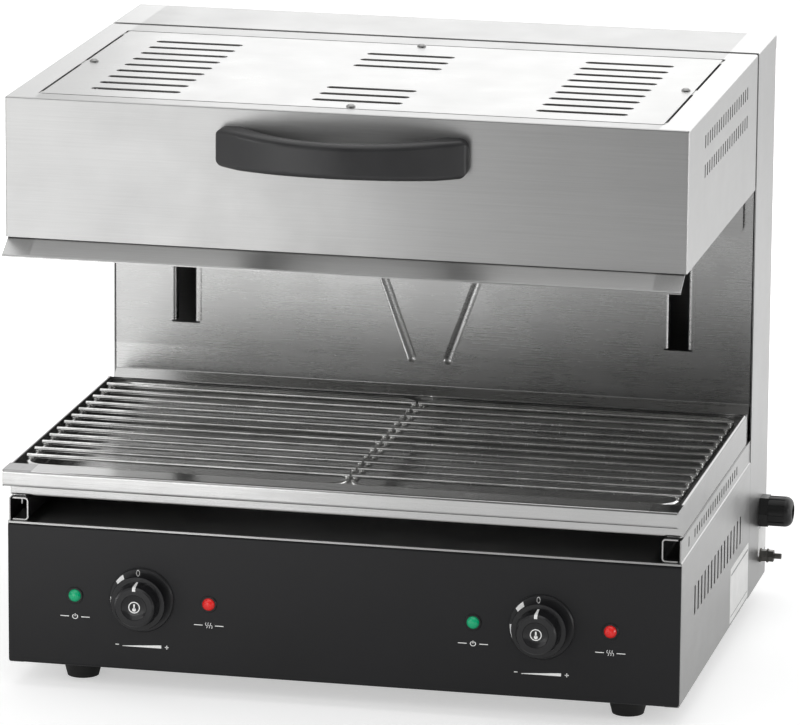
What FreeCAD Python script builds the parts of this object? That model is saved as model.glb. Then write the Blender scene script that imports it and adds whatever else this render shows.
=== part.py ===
import FreeCAD, Part
import math
import os

Vector = FreeCAD.Vector

# Counter-top salamander grill with a heating head that slides up and down on a column.
# Lengths are millimetres. X points right, Y to the back and Z up from the floor.
# Pieces are drawn about the middle of the body's width and depth. The export moves them so that
# the origin lies on the floor under the middle of the overall box, with handle and cable gland.

# Overall body
BODY_WIDTH = 600.0
BODY_DEPTH = 460.0
BODY_HEIGHT = 530.0
SHEET = 1.2
BEND = 1.5
EASE = 0.3
FIT = 0.05

# Feet
FOOT_HEIGHT = 22.0
FOOT_TOP_RADIUS = 16.0
FOOT_SOLE_RADIUS = 14.0
FOOT_SIDE_INSET = 54.0
FOOT_INSET = 52.0
FOOT_STUD_RADIUS = 4.0
FOOT_STUD_LENGTH = 10.0
FOOT_NUT = 13.0
FOOT_NUT_HEIGHT = 6.0

# Base cabinet
CONTROL_HEIGHT = 129.0
PANEL_SHEET = 1.5
PANEL_RETURN = 12.0
PANEL_CORNER = 3.5
DECK_HEM = 2.0
SIDE_FLANGE = 13.0
SIDE_JOGGLE = 0.8
SIDE_SLOT_PITCH = 17.0
SIDE_SLOT_WIDTH = 6.0
SIDE_SLOT_HEIGHT = 26.0
SIDE_SLOT_FIRST = 71.5
SIDE_SLOT_REAR_MARGIN = 50.0
SIDE_SLOT_ABOVE_BASE = 65.0
STRIP_SLOT_PITCH = 11.5
STRIP_SLOT_WIDTH = 4.0
STRIP_SLOT_HEIGHT = 8.0
STRIP_SLOT_FIRST = 70.0
STRIP_SLOT_REAR_MARGIN = 72.0
STRIP_HOLE_FROM_FRONT = 40.0
STRIP_HOLE_HEIGHT = 10.0
PAN_SLOT_COUNT = 6
PAN_SLOT_LENGTH = 90.0
PAN_SLOT_WIDTH = 6.0
PAN_SLOT_PITCH = 20.0
PAN_LIP = 10.0

# Tray rails
RAIL_WIDTH = 14.0
RAIL_HEIGHT = 20.5
RAIL_BEND = 2.0
RAIL_SETBACK = 3.0

# Grease tray
TRAY_HEIGHT = 29.5
TRAY_SHEET = 1.0
TRAY_SIDE_GAP = 0.5
TRAY_FRONT_SETBACK = 8.0
TRAY_REAR_GAP = 13.0
TRAY_RIM_REACH = 18.0
TRAY_RIM_DROP = 15.0
TRAY_RIM_RETURN = 20.0
TRAY_HEM = 3.0

# Grids
GRID_FRAME_WIRE = 2.5
GRID_WIRE = 2.0
GRID_WIRE_COUNT = 12
GRID_END_GAP = 21.0
GRID_CORNER = 16.0
GRID_INNER_X = 3.6
GRID_SIDE_GAP = 11.0
GRID_FRONT_GAP = 10.0
GRID_REAR_GAP = 8.0
GRID_OVERHANG = 3.5
GRID_ABOVE_TRAY = 1.0
GRID_WELD = 0.5
GRID_REST_DEPTH = 12.0
GRID_REST_LEG = 11.0

# Heating head
HEAD_HEIGHT = 124.0
HEAD_GAP = 6.0
HEAD_BEND = 2.0
HEAD_FLANGE = 10.0
COVER_INSET_X = 24.0
COVER_INSET_FRONT = 20.0
COVER_INSET_REAR = 31.0
COVER_GAP = 2.5
COVER_LEDGE = 16.0
COVER_TAB = 20.0
VENT_LENGTH = 80.0
VENT_WIDTH = 9.0
VENT_PITCH = 28.0
VENT_MIDDLE_COUNT = 3
VENT_SIDE_INSET = 103.0
VENT_FRONT_Y = 54.5
VENT_REAR_MARGIN = 76.0
VENT_MIDDLE_MARGIN = 85.0
SIDE_VENT_PITCH = 11.5
SIDE_VENT_WIDTH = 4.0
SIDE_VENT_HEIGHT = 11.5
SIDE_VENT_FIRST = 82.0
SIDE_VENT_REAR_MARGIN = 54.0
SIDE_VENT_UPPER = 25.0
SIDE_VENT_LOWER = 51.0
SCREW_HEAD_RADIUS = 4.0
SCREW_HEAD_HEIGHT = 2.4
SCREW_SHANK_RADIUS = 1.8
SCREW_LENGTH = 6.0
COVER_SCREW_INSET = 7.0
LIP_REACH = 19.0
LIP_DROP = 12.0
LIP_LEG = 34.0
LIP_END_GAP = 2.0

# Handle
HANDLE_LENGTH = 221.0
HANDLE_HEIGHT = 34.0
HANDLE_WAIST = 30.0
HANDLE_REACH = 50.0
HANDLE_PAD = 26.0
HANDLE_PAD_REACH = 9.0
HANDLE_GRIP = 15.0
HANDLE_EDGE = 5.0
HANDLE_END_ROUND = 9.0
HANDLE_BELOW_TOP = 33.0
HANDLE_SCREW_RADIUS = 2.5

# Heating parts inside the head
REFLECTOR_INSET = 14.0
REFLECTOR_SLOPE = 16.0
REFLECTOR_RISE = 23.0
REFLECTOR_RIM_INSET = 1.9
INSULATION_HEIGHT = 24.0
INSULATION_GAP = 7.0
ELEMENT_RADIUS = 4.0
ELEMENT_LEGS = 4
ELEMENT_END_INSET = 63.5
ELEMENT_INNER_X = 12.0
ELEMENT_SIDE_INSET = 42.0
ELEMENT_BELOW_PAN = 10.0
ELEMENT_RISE = 22.0
ELEMENT_BEND = 9.0
TERMINAL_RADIUS = 7.0
TERMINAL_HEIGHT = 14.0
SUPPORT_WIDTH = 10.0
SUPPORT_SHEET = 1.5
SUPPORT_SHARES = (0.25, 2 / 3)

# Head shield that hides the slots behind the head
SHIELD_DROP = 43.0
SHIELD_INSET = 11.0
SHIELD_TOP_DROP = 30.0
SHIELD_CORNER = 8.0

# Column
COLUMN_DEPTH = 99.0
SLOT_INSET = 69.0
SLOT_WIDTH = 20.0
SLOT_BELOW_ARM = 31.0
SLOT_BELOW_TOP = 34.0
SLOT_FLANGE = 9.0
SLOT_BEND = 2.0
SLOT_RELIEF = 2.0
GROOVE_WIDTH = 9.0
GROOVE_DEPTH = 2.6
GROOVE_BOTTOM_X = 17.0
GROOVE_TOP_X = 67.0
GROOVE_ABOVE_KICK = 25.5
GROOVE_BELOW_TOP = 160.0
KICK_ABOVE_TRAY = 2.9
KICK_DROP = 10.0
KICK_REACH = 10.0
COLUMN_FLANGE = 14.0
BACK_SLOT_COUNT = 8
BACK_SLOT_LENGTH = 120.0
BACK_SLOT_WIDTH = 6.0
BACK_SLOT_PITCH = 16.0
BACK_SLOT_BOTTOM = 60.0
BACK_SCREW_ROWS = 4

# Lift
LEAST_COOKING_GAP = 54.4
ARM_WIDTH = 12.0
ARM_HEIGHT = 40.0
ARM_FORWARD = 160.0
ARM_CLEARANCE = 2.0
CARRIAGE_OVERHANG = 14.0
CARRIAGE_HEIGHT = 60.0
CARRIAGE_SHEET = 3.0
CARRIAGE_FLANGE = 10.0
CARRIAGE_BEHIND_PANEL = 12.8
ROD_RADIUS = 6.0
ROD_FROM_SLOT = 33.0
ROD_BEHIND_PANEL = 27.0
ROD_BELOW_CARRIAGE = 44.0
ROD_BELOW_TOP = 14.0
BUSH_WALL = 3.0
BUSH_LENGTH = 14.0
HOUSING_WALL = 3.0
BRACKET_SHEET = 4.0
BRACKET_WIDTH = 34.0
BRACKET_LEG = 22.0
PULLEY_SHARE = 0.4
PULLEY_GROOVE_RADIUS = 20.0
PULLEY_RADIUS = 21.5
PULLEY_WIDTH = 9.0
PULLEY_BELOW_TOP = 27.0
PULLEY_BEHIND_PANEL = 53.0
AXLE_RADIUS = 4.0
CHEEK = 2.0
CHEEK_LENGTH = 26.0
CABLE_RADIUS = 1.5
LUG_WIDTH = 14.0
LUG_HEIGHT = 6.0
WEIGHT_FROM_ROD = 26.0
WEIGHT_DEPTH = 32.0
WEIGHT_HEIGHT = 140.0
WEIGHT_ABOVE_BASE = 98.0
WEIGHT_EDGE = 2.0
GUIDE_LIP = 9.0
GUIDE_SHEET = 1.5
GUIDE_FOOT = 14.0
GUIDE_BELOW_WEIGHT = 20.0
GUIDE_ABOVE_TRAVEL = 10.0

# Controls
KNOB_SHARE = 0.595
KNOB_ABOVE_BASE = 65.0
DIAL_RADIUS = 29.0
DIAL_THICK = 2.5
KNOB_SKIRT_RADIUS = 24.5
KNOB_NECK_RADIUS = 21.0
KNOB_SKIRT_DEPTH = 12.0
KNOB_GRIP_RADIUS = 20.0
KNOB_GRIP_DEPTH = 13.0
KNOB_FACE_RADIUS = 18.0
KNOB_DISH_RADIUS = 11.5
KNOB_DISH_DEPTH = 2.0
KNOB_FLUTES = 10
KNOB_FLUTE_RADIUS = 4.0
KNOB_FLUTE_DEPTH = 1.2
KNOB_HUB_DEPTH = 14.0
SHAFT_RADIUS = 3.0
SHAFT_HOLE_RADIUS = 5.0
SHAFT_DEPTH = 12.0
THERMOSTAT_SIZE = 42.0
THERMOSTAT_DEPTH = 36.0
LIGHT_OFFSET = 60.5
LENS_RADIUS = 5.6
LENS_HEIGHT = 3.6
LENS_SEAT = 1.0
BEZEL_RADIUS = 7.4
BEZEL_HEIGHT = 1.2
LIGHT_BODY_RADIUS = 6.0
LIGHT_BODY_DEPTH = 26.0

# Mains entry and bonding stud
ENTRY_BEHIND_COLUMN = 65.0
GLAND_ABOVE_BASE = 67.0
GLAND_THREAD_RADIUS = 10.0
GLAND_BORE_RADIUS = 6.5
GLAND_HEX = 27.0
GLAND_HEX_LENGTH = 8.0
GLAND_NUT_RADIUS = 14.0
GLAND_NUT_LENGTH = 22.0
GLAND_NUT_ROUND = 7.0
GLAND_NUT_SEAT = 5.0
GLAND_RIBS = 12
GLAND_RIB_GAP = 3.0
GLAND_RIB_DEPTH = 0.6
GLAND_RIB_SHARE = 0.7
LOCKNUT_LENGTH = 6.0
STUD_ABOVE_BASE = 24.0
STUD_RADIUS = 3.0
STUD_TIP_RADIUS = 2.6
STUD_LENGTH = 20.0
STUD_NUT = 10.0
STUD_NUT_LENGTH = 5.0
WASHER_RADIUS = 6.5
WASHER_LENGTH = 1.4
BLOCK_LENGTH = 52.0
BLOCK_DEPTH = 24.0
BLOCK_HEIGHT = 20.0
BLOCK_WAYS = 4
BLOCK_INSET = 104.0

# Places worked out from the sizes
HALF = BODY_WIDTH / 2
FRONT = -BODY_DEPTH / 2
BACK = BODY_DEPTH / 2
BASE = FOOT_HEIGHT
TOP = BODY_HEIGHT
COLUMN_FRONT = BACK - COLUMN_DEPTH
PANEL_INSIDE = COLUMN_FRONT + SHEET
HEAD_BACK = COLUMN_FRONT - HEAD_GAP
HEAD_DEPTH = HEAD_BACK - FRONT
HEAD_BOTTOM = TOP - HEAD_HEIGHT
DECK = BASE + CONTROL_HEIGHT
RAIL_FOOT = DECK + EASE
RAIL_TOP = RAIL_FOOT + RAIL_HEIGHT
TRAY_FLOOR = RAIL_TOP + EASE
TRAY_TOP = TRAY_FLOOR + TRAY_HEIGHT
TRAY_HALF = HALF - TRAY_SIDE_GAP
KICK_TOP = TRAY_TOP + KICK_ABOVE_TRAY
KICK_FRONT = COLUMN_FRONT - KICK_REACH
TRAY_FRONT = FRONT + TRAY_FRONT_SETBACK
TRAY_REAR = KICK_FRONT - TRAY_REAR_GAP
SIDE_TOP = TRAY_FLOOR - 1.0
GRID_FOOT = TRAY_TOP + GRID_ABOVE_TRAY - 2 * GRID_WIRE + GRID_WELD - 2 * GRID_FRAME_WIRE
GRID_OUTER_X = HALF - GRID_SIDE_GAP
PAN_Z = BASE + PANEL_SHEET + EASE + EASE
FOOT_X = HALF - FOOT_SIDE_INSET
FOOT_Y = -FRONT - FOOT_INSET
KNOB_X = HALF * KNOB_SHARE
KNOB_Z = BASE + KNOB_ABOVE_BASE
PANEL_BACK = FRONT + PANEL_SHEET
ENTRY_Y = COLUMN_FRONT + ENTRY_BEHIND_COLUMN
BLOCK_X = HALF - BLOCK_INSET
REFLECTOR_RIM_Z = HEAD_BOTTOM + SHEET + EASE
REFLECTOR_TOP = REFLECTOR_RIM_Z + SHEET + REFLECTOR_RISE
ELEMENT_Z = REFLECTOR_TOP - SHEET - ELEMENT_BELOW_PAN
ELEMENT_OUTER_X = HALF - ELEMENT_SIDE_INSET
ELEMENT_PITCH = (HEAD_DEPTH - 2 * ELEMENT_END_INSET) / (ELEMENT_LEGS - 1)
SHIELD_HALF_WIDTH = HALF - SHIELD_INSET
VENT_SIDE_X = HALF - VENT_SIDE_INSET
ARM_Z = REFLECTOR_TOP + EASE
LIFT_TRAVEL = HEAD_BOTTOM - TRAY_TOP - LEAST_COOKING_GAP
SLOT_X = HALF - SLOT_INSET
SLOT_BOTTOM = ARM_Z - LIFT_TRAVEL - SLOT_BELOW_ARM
SLOT_TOP = TOP - SLOT_BELOW_TOP
GROOVE_BOTTOM = KICK_TOP + GROOVE_ABOVE_KICK
GROOVE_TOP = TOP - GROOVE_BELOW_TOP
INSULATION_HALF_WIDTH = SLOT_X - ARM_WIDTH / 2 - INSULATION_GAP
CARRIAGE_Y = PANEL_INSIDE + CARRIAGE_BEHIND_PANEL
CARRIAGE_Z = ARM_Z + ARM_HEIGHT / 2 - CARRIAGE_HEIGHT / 2
CARRIAGE_HALF_WIDTH = SLOT_X + CARRIAGE_OVERHANG
ROD_X = SLOT_X - ROD_FROM_SLOT
ROD_Y = PANEL_INSIDE + ROD_BEHIND_PANEL
ROD_BOTTOM = CARRIAGE_Z - LIFT_TRAVEL - ROD_BELOW_CARRIAGE
ROD_TOP = TOP - ROD_BELOW_TOP
BUSH_RADIUS = ROD_RADIUS + BUSH_WALL
HOUSING_RADIUS = BUSH_RADIUS + HOUSING_WALL
PULLEY_X = HALF * PULLEY_SHARE
PULLEY_Y = PANEL_INSIDE + PULLEY_BEHIND_PANEL
PULLEY_Z = TOP - PULLEY_BELOW_TOP
FRONT_CABLE_Y = PULLEY_Y - PULLEY_GROOVE_RADIUS
BACK_CABLE_Y = PULLEY_Y + PULLEY_GROOVE_RADIUS
LUG_TOP = CARRIAGE_Z + CARRIAGE_HEIGHT - EASE * 12
WEIGHT_Y = BACK_CABLE_Y - WEIGHT_DEPTH / 2 + EASE
WEIGHT_BOTTOM = BASE + WEIGHT_ABOVE_BASE
WEIGHT_TOP = WEIGHT_BOTTOM + WEIGHT_HEIGHT
WEIGHT_HALF_WIDTH = ROD_X - WEIGHT_FROM_ROD

SIDES = (-1, 1)
PLACE = {
    "x": lambda a, b, c: Vector(c, a, b),
    "y": lambda a, b, c: Vector(a, c, b),
    "z": lambda a, b, c: Vector(a, b, c),
}
ALONG = {"x": Vector(1, 0, 0), "y": Vector(0, 1, 0), "z": Vector(0, 0, 1)}
FORWARD = Vector(0, -1, 0)


# Shape helpers
def box(low, high):
    """Block between two corners."""
    low = Vector(*low)
    size = Vector(*high) - low
    return Part.makeBox(size.x, size.y, size.z, low)


def rod(radius, start, axis, length):
    """Round bar from a point along an axis."""
    return Part.makeCylinder(radius, length, Vector(*start), ALONG[axis])


def fuse(shapes):
    """One solid from shapes that touch."""
    shapes = list(shapes)
    return shapes[0].fuse(shapes[1:]).removeSplitter()


def group(shapes):
    """Separate solids kept together."""
    return Part.makeCompound(list(shapes))


def mirror(shape):
    """The same shape on the other side of the middle."""
    return shape.mirror(Vector(0, 0, 0), Vector(1, 0, 0))


def rounded_edges(points, radii, closed):
    """Straight runs joined by tangent arcs at the corners that have a radius."""
    count = len(points)
    starts = list(points)
    ends = list(points)
    arcs = [None] * count
    for i, corner in enumerate(points):
        if radii[i] <= 0 or (not closed and i in (0, count - 1)):
            continue
        into = (corner - points[i - 1]).normalize()
        out = (points[(i + 1) % count] - corner).normalize()
        half_turn = into.getAngle(out) / 2
        if half_turn < 1e-4:
            continue
        reach = radii[i] * math.tan(half_turn)
        starts[i] = corner - into * reach
        ends[i] = corner + out * reach
        inward = (out - into).normalize()
        middle = corner + inward * (radii[i] / math.cos(half_turn) - radii[i])
        arcs[i] = Part.Arc(starts[i], middle, ends[i]).toShape()
    edges = []
    last = count if closed else count - 1
    for i in range(count):
        if arcs[i]:
            edges.append(arcs[i])
        if i < last:
            following = (i + 1) % count
            if (starts[following] - ends[i]).Length > 1e-6:
                edges.append(Part.makeLine(ends[i], starts[following]))
    return edges


def prism(points, axis, start, end, radius=0.0):
    """Plate with the given outline and corner radius, between two levels of an axis."""
    place = PLACE[axis]
    corners = [place(a, b, start) for a, b in points]
    radii = radius if isinstance(radius, (list, tuple)) else [radius] * len(corners)
    face = Part.Face(Part.Wire(rounded_edges(corners, radii, True)))
    return face.extrude(ALONG[axis] * (end - start))


def rectangle(low_a, low_b, high_a, high_b):
    """Corners of a rectangle."""
    return [(low_a, low_b), (high_a, low_b), (high_a, high_b), (low_a, high_b)]


def slot(centre_a, centre_b, length_a, length_b, axis, start, end):
    """Cutter for a slot with round ends."""
    half_a = length_a / 2
    half_b = length_b / 2
    outline = rectangle(centre_a - half_a, centre_b - half_b, centre_a + half_a, centre_b + half_b)
    return prism(outline, axis, start, end, min(half_a, half_b) * 0.999)


def offset_line(points, distance):
    """Points of an open line moved to its left."""
    moved = []
    for i, (a, b) in enumerate(points):
        normals = []
        for first, second in ((i - 1, i), (i, i + 1)):
            if first >= 0 and second < len(points):
                run_a = points[second][0] - points[first][0]
                run_b = points[second][1] - points[first][1]
                length = math.hypot(run_a, run_b)
                normals.append((-run_b / length, run_a / length))
        if len(normals) == 1:
            shift = normals[0]
        else:
            (a1, b1), (a2, b2) = normals
            scale = 1 + a1 * a2 + b1 * b2
            shift = ((a1 + a2) / scale, (b1 + b2) / scale)
        moved.append((a + shift[0] * distance, b + shift[1] * distance))
    return moved


def folded_sheet(points, thickness, bend, axis, start, end):
    """Bent sheet: the line is one face, the metal lies to its left and is drawn along the axis."""
    other = offset_line(points, thickness)
    radii = []
    other_radii = []
    for i in range(len(points)):
        if i in (0, len(points) - 1):
            radii.append(0)
            other_radii.append(0)
            continue
        into_a = points[i][0] - points[i - 1][0]
        into_b = points[i][1] - points[i - 1][1]
        out_a = points[i + 1][0] - points[i][0]
        out_b = points[i + 1][1] - points[i][1]
        turns_left = into_a * out_b - into_b * out_a > 0
        radii.append(bend + thickness if turns_left else bend)
        other_radii.append(bend if turns_left else bend + thickness)
    outline = points + other[::-1]
    return prism(outline, axis, start, end, radii + other_radii[::-1])


def revolve(profile, centre, axis):
    """Turned part: the profile gives radius and distance along the axis from the centre."""
    across = Vector(1, 0, 0) if axis.cross(Vector(1, 0, 0)).Length > 0.5 else Vector(0, 0, 1)
    points = [centre + across * radius + axis * distance for radius, distance in profile]
    face = Part.Face(Part.makePolygon(points + points[:1]))
    return face.revolve(centre, axis, 360)


def pan_screw(centre, outward, length, radius=SCREW_HEAD_RADIUS):
    """Pan-head screw whose head stands on the point and whose shank runs inwards."""
    crown = radius * 0.55
    shank = radius * SCREW_SHANK_RADIUS / SCREW_HEAD_RADIUS
    height = radius * SCREW_HEAD_HEIGHT / SCREW_HEAD_RADIUS
    profile = [(0, -length), (shank, -length), (shank, 0), (radius, 0),
               (radius, height * 0.45), (crown, height), (0, height)]
    return revolve(profile, centre, outward)


def row(first, pitch, end):
    """Places at a pitch from the first one up to an end."""
    return [first + i * pitch for i in range(int((end - first) / pitch) + 1)]


def hexagon(size, start, axis, length):
    """Hexagonal bar from a point along an axis, given its width across flats."""
    radius = size / math.sqrt(3)
    base = [(radius * math.cos(math.pi * i / 3), radius * math.sin(math.pi * i / 3)) for i in range(6)]
    bar = prism(base, axis, 0, length)
    bar.translate(Vector(*start))
    return bar


# Feet and base cabinet
def feet():
    """Four moulded feet, each with a boss under the floor pan and a threaded stud."""
    boss_top = PAN_Z - EASE
    profile = [(0, 0), (FOOT_SOLE_RADIUS, 0), (FOOT_TOP_RADIUS, FOOT_HEIGHT * 0.35),
               (FOOT_TOP_RADIUS, boss_top), (FOOT_STUD_RADIUS, boss_top),
               (FOOT_STUD_RADIUS, boss_top + FOOT_STUD_LENGTH), (0, boss_top + FOOT_STUD_LENGTH)]
    return group(revolve(profile, Vector(x, y, 0), ALONG["z"]) for x, y in foot_places())


def foot_places():
    """Middles of the feet."""
    return [(x * FOOT_X, y * FOOT_Y) for x in SIDES for y in SIDES]


def foot_nuts():
    """Nuts on the studs of the feet, above the floor pan."""
    low = PAN_Z + SHEET + FIT
    nuts = []
    for x, y in foot_places():
        nut = hexagon(FOOT_NUT, (x, y, low), "z", FOOT_NUT_HEIGHT)
        nuts.append(nut.cut(rod(FOOT_STUD_RADIUS + FIT / 2, (x, y, low - 1), "z", 2 * FOOT_NUT_HEIGHT)))
    return group(nuts)


def floor_pan():
    """Bottom sheet with turned-up lips, cooling slots and the stud holes of the feet."""
    half = HALF - SHEET - EASE
    rear = BACK - SHEET - EASE - SHEET - EASE
    front = FRONT + PANEL_SHEET + EASE
    lip = [(-half, PAN_Z + PAN_LIP), (-half, PAN_Z), (half, PAN_Z), (half, PAN_Z + PAN_LIP)]
    pan = folded_sheet(lip, SHEET, BEND, "y", front, rear)
    cutters = []
    for x, y in foot_places():
        cutters.append(rod(FOOT_STUD_RADIUS + FIT, (x, y, BASE), "z", PAN_LIP))
    for x in SIDES:
        for i in range(PAN_SLOT_COUNT):
            y = (i - (PAN_SLOT_COUNT - 1) / 2) * PAN_SLOT_PITCH
            cutters.append(slot(x * FOOT_X / 2, y, PAN_SLOT_LENGTH, PAN_SLOT_WIDTH, "z",
                                PAN_Z - SHEET, PAN_Z + 2 * SHEET))
    return pan.cut(group(cutters))


def base_side():
    """Right side sheet of the base, with a bottom flange, a step under the rail strip and vents."""
    outer = HALF
    strip = HALF - SIDE_JOGGLE
    path = [(outer - SIDE_FLANGE, BASE), (outer, BASE), (outer, DECK - SIDE_JOGGLE / 2),
            (strip, DECK + SIDE_JOGGLE / 2), (strip, SIDE_TOP)]
    front = FRONT + PANEL_SHEET + EASE
    side = folded_sheet(path, SHEET, 0.4, "y", front, COLUMN_FRONT - EASE)
    inner = outer - SIDE_FLANGE / 2
    slot_z = BASE + SIDE_SLOT_ABOVE_BASE
    strip_z = (DECK + SIDE_TOP) / 2 - EASE
    cutters = []
    for y in row(FRONT + SIDE_SLOT_FIRST, SIDE_SLOT_PITCH, COLUMN_FRONT - SIDE_SLOT_REAR_MARGIN):
        low = (y - SIDE_SLOT_WIDTH / 2, slot_z)
        cutters.append(prism(rectangle(*low, low[0] + SIDE_SLOT_WIDTH, slot_z + SIDE_SLOT_HEIGHT),
                             "x", inner, outer + SHEET))
    for y in row(FRONT + STRIP_SLOT_FIRST, STRIP_SLOT_PITCH, COLUMN_FRONT - STRIP_SLOT_REAR_MARGIN):
        half = STRIP_SLOT_HEIGHT / 2
        cutters.append(prism(rectangle(y - STRIP_SLOT_WIDTH / 2, strip_z - half,
                                       y + STRIP_SLOT_WIDTH / 2, strip_z + half),
                             "x", inner, outer + SHEET))
    cutters.append(slot(FRONT + STRIP_HOLE_FROM_FRONT, strip_z, STRIP_SLOT_WIDTH, STRIP_HOLE_HEIGHT,
                        "x", inner, outer + SHEET))
    return side.cut(group(cutters))


def control_panel():
    """Black front panel with turned-in edges and holes for shafts and pilot lights."""
    low = BASE + EASE
    high = DECK - DECK_HEM - EASE
    edge = HALF - EASE
    path = [(FRONT + PANEL_RETURN, low), (FRONT, low), (FRONT, high), (FRONT + PANEL_RETURN, high)]
    panel = folded_sheet([(y, z) for y, z in path[::-1]], PANEL_SHEET, 1.0, "x", -edge, edge)
    outline = prism(rectangle(-edge, low, edge, high), "y", FRONT - SHEET, PANEL_BACK + FIT,
                    [PANEL_CORNER, PANEL_CORNER, 0.5, 0.5])
    inner_edge = HALF - SIDE_FLANGE - EASE
    returns = box((-inner_edge, FRONT, low), (inner_edge, FRONT + PANEL_RETURN, high))
    panel = panel.common(outline.fuse(returns))
    cutters = []
    for x in knob_places():
        cutters.append(rod(SHAFT_HOLE_RADIUS, (x, FRONT - SHEET, KNOB_Z), "y", 3 * PANEL_SHEET))
    for x in light_places():
        cutters.append(rod(LIGHT_BODY_RADIUS + FIT, (x, FRONT - SHEET, KNOB_Z), "y", 3 * PANEL_SHEET))
    return panel.cut(group(cutters))


def base_deck():
    """Top sheet of the base with a turned-down front edge above the control panel."""
    edge = HALF - SHEET - SIDE_JOGGLE - EASE
    rear = COLUMN_FRONT - EASE
    path = [(FRONT, DECK - DECK_HEM), (FRONT, DECK), (rear, DECK)]
    deck = folded_sheet(path[::-1], SHEET, EASE / 2, "x", -edge, edge)
    nose = box((-HALF + EASE, FRONT, DECK - DECK_HEM), (HALF - EASE, FRONT + SHEET, DECK - EASE))
    return deck.fuse(nose).removeSplitter()


def tray_rail():
    """Right C-shaped rail, open towards the side sheet, that carries the tray."""
    outer = HALF - SHEET - SIDE_JOGGLE - 2.0
    inner = outer - RAIL_WIDTH
    path = [(outer, RAIL_TOP), (inner, RAIL_TOP), (inner, RAIL_FOOT), (outer, RAIL_FOOT)]
    rear = KICK_FRONT - EASE
    return folded_sheet(path, SHEET, RAIL_BEND, "y", FRONT + RAIL_SETBACK, rear)


# Tray and grids
def grease_tray():
    """Pan that slides on the rails, with a box-folded rim along its front."""
    rim_front = FRONT - TRAY_RIM_REACH + TRAY_SHEET
    rim_low = TRAY_TOP - TRAY_RIM_DROP + TRAY_SHEET
    rim_high = TRAY_TOP - TRAY_SHEET
    path = [(rim_front + TRAY_RIM_RETURN, rim_low), (rim_front, rim_low), (rim_front, rim_high),
            (TRAY_FRONT, rim_high), (TRAY_FRONT, TRAY_FLOOR), (TRAY_REAR, TRAY_FLOOR)]
    length = folded_sheet(path, TRAY_SHEET, BEND, "x", -TRAY_HALF, TRAY_HALF)
    walls = []
    for x in SIDES:
        outer = x * TRAY_HALF
        path = [(outer - x * RAIL_WIDTH, TRAY_FLOOR), (outer, TRAY_FLOOR), (outer, TRAY_TOP),
                (outer - x * TRAY_HEM, TRAY_TOP)]
        if x < 0:
            path = path[::-1]
        walls.append(folded_sheet(path, TRAY_SHEET, BEND, "y", TRAY_FRONT, TRAY_REAR))
    rear_path = [(TRAY_REAR - RAIL_WIDTH, TRAY_FLOOR), (TRAY_REAR, TRAY_FLOOR), (TRAY_REAR, TRAY_TOP),
                 (TRAY_REAR - TRAY_HEM, TRAY_TOP)]
    rear = folded_sheet(rear_path, TRAY_SHEET, BEND, "x", -TRAY_HALF, TRAY_HALF)
    rim_ends = []
    for x in SIDES:
        inner = x * (TRAY_HALF - TRAY_SHEET)
        low_x = min(inner, x * TRAY_HALF)
        front = FRONT - TRAY_RIM_REACH
        outline = rectangle(front, TRAY_TOP - TRAY_RIM_DROP, TRAY_FRONT, TRAY_TOP)
        rim_ends.append(prism(outline, "x", low_x, low_x + TRAY_SHEET, [BEND, 0, 0, BEND]))
    tray = fuse([length] + walls + [rear] + rim_ends)
    corner = prism(rectangle(-TRAY_HALF, TRAY_FRONT - 60, TRAY_HALF, TRAY_REAR), "z",
                   TRAY_FLOOR - SHEET, TRAY_TOP + SHEET, [0, 0, BEND, BEND])
    return tray.common(corner)


def grid_rests():
    """Angle strips along the tray's front and rear walls that the grids lie on."""
    half = TRAY_HALF - TRAY_SHEET - BEND - EASE
    top = GRID_FOOT - EASE
    strips = []
    for wall, inwards in ((TRAY_FRONT + TRAY_SHEET + EASE, 1), (TRAY_REAR - TRAY_SHEET - EASE, -1)):
        path = [(wall + inwards * GRID_REST_DEPTH, top), (wall, top), (wall, top - GRID_REST_LEG)]
        if inwards < 0:
            path = path[::-1]
        strips.append(folded_sheet(path, TRAY_SHEET, BEND, "x", -half, half))
    return group(strips)


def grill_grid():
    """Right half of the grid: a bent frame wire with a row of cross wires on top."""
    wire_z = TRAY_TOP + GRID_ABOVE_TRAY - GRID_WIRE
    frame_z = GRID_FOOT + GRID_FRAME_WIRE
    front = TRAY_FRONT + GRID_FRONT_GAP
    rear = TRAY_REAR - GRID_REAR_GAP
    corners = [Vector(GRID_INNER_X, (front + rear) / 2, frame_z), Vector(GRID_INNER_X, front, frame_z),
               Vector(GRID_OUTER_X, front, frame_z), Vector(GRID_OUTER_X, rear, frame_z),
               Vector(GRID_INNER_X, rear, frame_z)]
    path = Part.Wire(rounded_edges(corners, [0] + [GRID_CORNER] * 4, True))
    section = Part.Wire(Part.makeCircle(GRID_FRAME_WIRE, corners[0], Vector(0, 1, 0)))
    frame = path.makePipeShell([section], True, False)
    pieces = [frame]
    pitch = (rear - front - 2 * GRID_END_GAP) / (GRID_WIRE_COUNT - 1)
    length = GRID_OUTER_X - GRID_INNER_X + GRID_OVERHANG + GRID_FRAME_WIRE
    for i in range(GRID_WIRE_COUNT):
        y = front + GRID_END_GAP + i * pitch
        pieces.append(rod(GRID_WIRE, (GRID_INNER_X - GRID_FRAME_WIRE, y, wire_z), "x", length))
    return fuse(pieces)


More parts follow.
